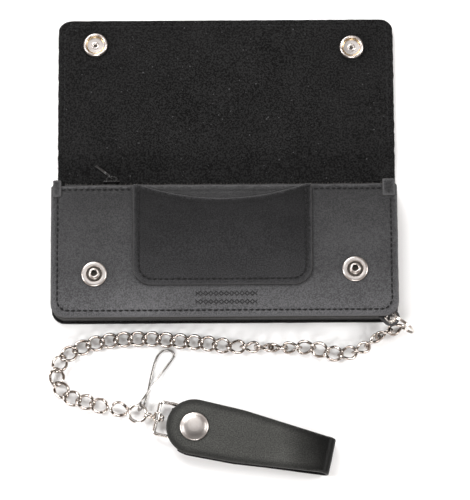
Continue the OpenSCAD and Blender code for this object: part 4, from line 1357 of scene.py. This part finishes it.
# %% Place of the strap
spin = [j for j in frame["joints"] if j["name"] == "swivel_spin"][0]
along = unit(np.array(spin["axis"], float))
across = np.array([-along[1], along[0], 0])
strap_zero = np.array(spin["pos_m"] if "pos_m" in spin else spin["pos"], float) / MM
bar_z = strap_zero[2]
print("strap starts at", strap_zero.round(2), "along", along.round(3))


def on_strap(points):
    """points given along the strap, across it and above the table"""
    points = np.asarray(points, float)
    return strap_zero * (1, 1, 0) + points[..., :1] * along + points[..., 1:2] * across + points[..., 2:] * (0, 0, 1)


# %% [markdown]
# Swivel. A wire eye is forged in one with its shank; the shank turns in the boss of the strap
# ring and is peened over inside it, so that it cannot pull out.

# %% Swivel eye and strap ring
eye_x, eye_r = 10.6, 4.6
turn = np.arange(48) * math.tau / 48
swivel = Shape()
swivel.add(*tube(on_strap(np.stack([-eye_x + eye_r * np.cos(turn), eye_r * np.sin(turn), np.full(48, bar_z)],
                                   1)), 0.98, 16, closed=True))
shank = [(0.0, -6.6), (0.9, -6.5), (1.15, -5.9), (1.7, -5.4), (1.75, -4.9), (1.75, -3.3), (1.4, -2.95),
         (1.02, -2.8), (1.02, 2.45), (1.9, 2.6),
         (1.95, 3.1), (1.5, 3.7), (0.0, 3.85)]
swivel.add(*turned(shank, on_strap((0, 0, bar_z)), along, 32, 0.15))
swivel.build("swivel_eye_forged", "swivel", (nickel,), "nickel", ("swivel_eye",))

ring_length, ring_half = 10.0, 8.8


def rounded_loop(x0, x1, y0, y1, r, z):
    spots = []
    for cx, cy, a in ((x1 - r, y1 - r, 0), (x0 + r, y1 - r, 90), (x0 + r, y0 + r, 180),
                      (x1 - r, y0 + r, 270)):
        spots += [(cx + r * math.cos(math.radians(a + b)), cy + r * math.sin(math.radians(a + b)),
                   z) for b in np.linspace(0, 90, 7)]
    filled = []
    for p, q in zip(spots, spots[1:] + spots[:1]):
        gap = math.dist(p, q)
        filled += [np.array(p) + (np.array(q) - p) * t for t in np.arange(0, 1, min(1, 1.2 / max(gap, 0.01)))]
    return np.array(filled)


ring = Shape()
ring.add(*tube(on_strap(rounded_loop(0, ring_length, -ring_half, ring_half, 1.7, bar_z)), 0.98, 16,
               closed=True))
ring.add(*turned([(0.98, -2.5), (1.9, -2.4), (2.2, -2.1), (2.2, 2.1), (1.9, 2.4), (0.98, 2.5)],
                 on_strap((0, 0, bar_z)), across, 32, 0.3))
ring.build("strap_ring_bars", "loop_ring", (nickel,), "nickel", ("strap_ring",))

# %% [markdown]
# Key clip. One spring wire, bent to a long drop, hooks the swivel's eye with both crossing ends.
# Its route is listed point by point: up and over the eye's wire, flat along the table, round the
# key loop and back under the eye.

# %% Key clip
clip_route = [(-43.6, -79, 6.2), (-41.4, -75.5, 4.4), (-37.4, -69.2, 2.4), (-32.4, -61.9, 1),
              (-28.2, -56.2, 0.8),
              (-27, -53.7, 0.8), (-28.3, -51.8, 0.8), (-31, -51.2, 0.8), (-34, -52.2,
                                                                          0.8), (-36.3, -55.4, 0.8),
              (-38.2, -61.4, 0.8), (-39.8, -68.7, 0.8), (-41.2, -75.5, 0.9), (-42.6, -79.6,
                                                                              1.1), (-44.2, -82.6, 1.4),
              (-45.2, -84, 3), (-45.7, -84.2, 4.6), (-45.3, -82.5, 6.2), (-44.7, -80.8, 6.6)]
Shape().add(*tube(smooth_line(clip_route, 10, closed=True), 0.6, 14,
                  closed=True)).build("key_clip_wire", "clip", (wire_nickel,), "spring_steel", ("key_clip",))

# %% [markdown]
# Belt strap. It is one ribbon of harness leather: it starts under the snap, runs flat on the table,
# turns over at the far end and comes back to its round head. So it is swept as one piece along its
# own middle line.

# %% Belt strap ribbon
upper_low, upper_high = corners("strap_upper_leaf")
strap_t = upper_high[2] - upper_low[2]
upper_z = upper_low[2]
snap_x, strap_mid, head_r, fold_x, fold_half = 20.5, -1.8, 14.8, 90.0, 9.8
fold_r = (upper_z + strap_t) / 2


def half_width(x):
    """half the strap's width at a place along it"""
    body = np.interp(x, [snap_x, snap_x + 24, fold_x], [head_r, head_r - 0.6, fold_half])
    head = np.sqrt(np.maximum(head_r ** 2 - (x - snap_x) ** 2, 0))
    return np.where(x < snap_x, head, body)


stations = []
for x in np.concatenate([[14.0, 14.15, 14.5, 15.2], np.arange(16.5, fold_x, 2.2)]):
    stations.append((x, strap_t / 2, 0.0, -1.0, x))
mid_r = fold_r - strap_t / 2
for a in np.radians(np.arange(-90, 91, 7.5)):
    stations.append((fold_x + mid_r * math.cos(a), fold_r + mid_r * math.sin(a), math.cos(a), math.sin(a),
                     fold_x))
for x in np.arange(fold_x - 2.2, snap_x, -2.2):
    stations.append((x, upper_z + strap_t / 2, 0.0, 1.0, x))
for a in np.radians(np.concatenate([np.arange(90, 14, -6), np.arange(14, 2, -3), [1.5, 0.6]])):
    x = snap_x - head_r * math.cos(a)
    stations.append((x, upper_z + strap_t / 2, 0.0, 1.0, x))
stations = np.array(stations)
n = len(stations)
v = np.unique(np.concatenate([np.linspace(-1, 1, 25),
                              [-0.995, -0.98, -0.955, -0.92, 0.92, 0.955, 0.98, 0.995]]))
m = len(v)
w = half_width(stations[:, 4])
lower_leaf = stations[:, 3] < -0.5
sway = np.where(lower_leaf, 0.5, 0) * ease((fold_x - stations[:, 0]) / 30)
yy = strap_mid + sway[:, None] + w[:, None] * v[None]
rim_far = w[:, None] * (1 - np.abs(v[None]))
head_far = head_r - np.hypot(stations[:, :1] - snap_x, yy - strap_mid)
far = np.where((stations[:, :1] < snap_x) & (stations[:, 3:4] > 0.5), head_far, rim_far)
far = np.where(lower_leaf[:, None], np.minimum(far, stations[:, :1] - 14.0), far)
far = np.maximum(far, 0)
edge_r = 0.6
drop = edge_r * (1 - np.sqrt(1 - (1 - np.clip(far / edge_r, 0, 1)) ** 2))
unevenness = waves(stations[:, :1] + 0 * yy, yy, 14, 34, 0.10) * ease(far / 5)
dish = 0.25 * ease((9.5 - np.hypot(stations[:, :1] - snap_x, yy - strap_mid)) / 3) * (stations[:, 3:4] > 0.5)


def ribbon_side(offset):
    x = stations[:, :1] + stations[:, 2:3] * offset
    z = stations[:, 1:2] + stations[:, 3:4] * offset
    return on_strap(np.stack([np.broadcast_to(x, (n, m)), yy, np.broadcast_to(z, (n, m))], 2))


outer = ribbon_side(strap_t / 2 - drop + unevenness * 0.6 - dish)
inner = ribbon_side(-strap_t / 2 + drop + unevenness * 0.3)
ribbon = Shape()
quads = band(n, m)
ribbon.add(outer, [q[::-1] for q in quads], 0, far.ravel())
ribbon.add(inner, quads, 2, far.ravel())
ring_ids = rim_steps(n, m)
i, j = np.array(ring_ids).T
side = np.concatenate([inner[i, j] * (1 - s) + outer[i, j] * s for s in (0, 0.35, 0.65, 1)])
ribbon.add(side, [q[::-1] for q in band(4, len(i), wrap_across=True)], 1, 0.0)
belt = ribbon.build("belt_strap_ribbon", "strap_lower", (belt_leather, cut_edge, suede), "strap_leather",
                    ("strap_lower_leaf", "strap_fold", "strap_upper_leaf"), rides=False)
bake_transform(belt)

# %% [markdown]
# The tongue. The lower leaf narrows, goes round the ring's far bar and comes back over itself
# under the snap, which clamps it. It is a second ribbon that belongs to the lower leaf.

# %% Tongue round the ring
inside = bar_z - strap_t
wrap = [(15.5, strap_t / 2), (ring_length + 1.5, strap_t / 2)]
wrap += [(ring_length + (inside + strap_t / 2) * math.cos(a),
          bar_z + (inside + strap_t / 2) * math.sin(a)) for a in np.radians(np.arange(-90, -271, -12))]
wrap += [(ring_length + 1.4, 2 * bar_z - strap_t / 2 - 0.35), (ring_length + 3.4, 4.3),
         (15.4, strap_t * 1.5 + 0.25), (18, strap_t * 1.5), (24, strap_t * 1.5), (30.6, strap_t * 1.5)]
wrap = smooth_line([(x, 0, z) for x, z in wrap], 3)[:, [0, 2]]
run = unit(np.gradient(wrap, axis=0))
normal = np.stack([run[:, 1], -run[:, 0]], 1)
v = np.array([-1, -0.98, -0.93, -0.8, -0.4, 0, 0.4, 0.8, 0.93, 0.98, 1])
n, m = len(wrap), len(v)
far = 6.5 * (1 - np.abs(v))
drop = 0.5 * (1 - np.sqrt(1 - (1 - np.clip(far / 0.5, 0, 1)) ** 2))


def tongue_side(offset):
    p = wrap[:, None] + normal[:, None] * offset[None, :, None]
    return on_strap(np.stack([p[..., 0], np.broadcast_to(6.5 * v, (n, m)), p[..., 1]], 2))


outer, inner = tongue_side(strap_t / 2 - 0.02 - drop), tongue_side(-strap_t / 2 + 0.02 + drop)
tongue = Shape()
tongue.add(outer, band(n, m), 0, np.tile(far, n)).add(inner, [q[::-1] for q in band(n, m)], 2,
                                                      np.tile(far, n))
ring_ids = rim_steps(n, m)
i, j = np.array(ring_ids).T
tongue.add(np.concatenate([inner[i, j], (inner[i, j] + outer[i, j]) / 2, outer[i, j]]),
           band(3, len(i), wrap_across=True), 1, 0.0)
tongue.build("strap_tongue", "strap_lower", (belt_leather, cut_edge, suede), "strap_leather")

# %% [markdown]
# Strap snap. The same fastener as on the wallet: a domed cap on the head of the strap with its
# socket below, and a small stud on the lower leaf.

# %% Strap snap
snap_at = on_strap((snap_x, strap_mid, 0))
strap_cap, strap_socket, strap_spring, strap_stud, strap_rivet = Shape(), Shape(), Shape(), Shape(), Shape()
cap(strap_cap, snap_at, upper_z + strap_t, 2.0, 1, strap_t)
socket(strap_socket, snap_at, upper_z, -1)
spring(strap_spring, snap_at, upper_z - 1.6)
stud(strap_stud, snap_at, 5.0, strap_t * 2)
hollow_rivet(strap_rivet, snap_at, strap_t * 2 - 0.8, 0.6)
strap_cap.build("strap_cap_dome", "strap_upper", (satin_nickel,), "nickel", ("strap_cap",))
strap_socket.build("strap_socket_ring", "strap_upper", (nickel, dark_bore), "nickel", ("strap_socket",))
strap_spring.build("strap_spring_wire", "strap_upper", (spring_brass,), "spring_steel",
                   ("strap_socket_spring",))
strap_stud.build("strap_stud_ring", "strap_lower", (nickel, dark_bore), "nickel", ("strap_stud",))
strap_rivet.build("strap_rivet", "strap_lower", (nickel, dark_bore), "nickel", ("strap_stud_post",))
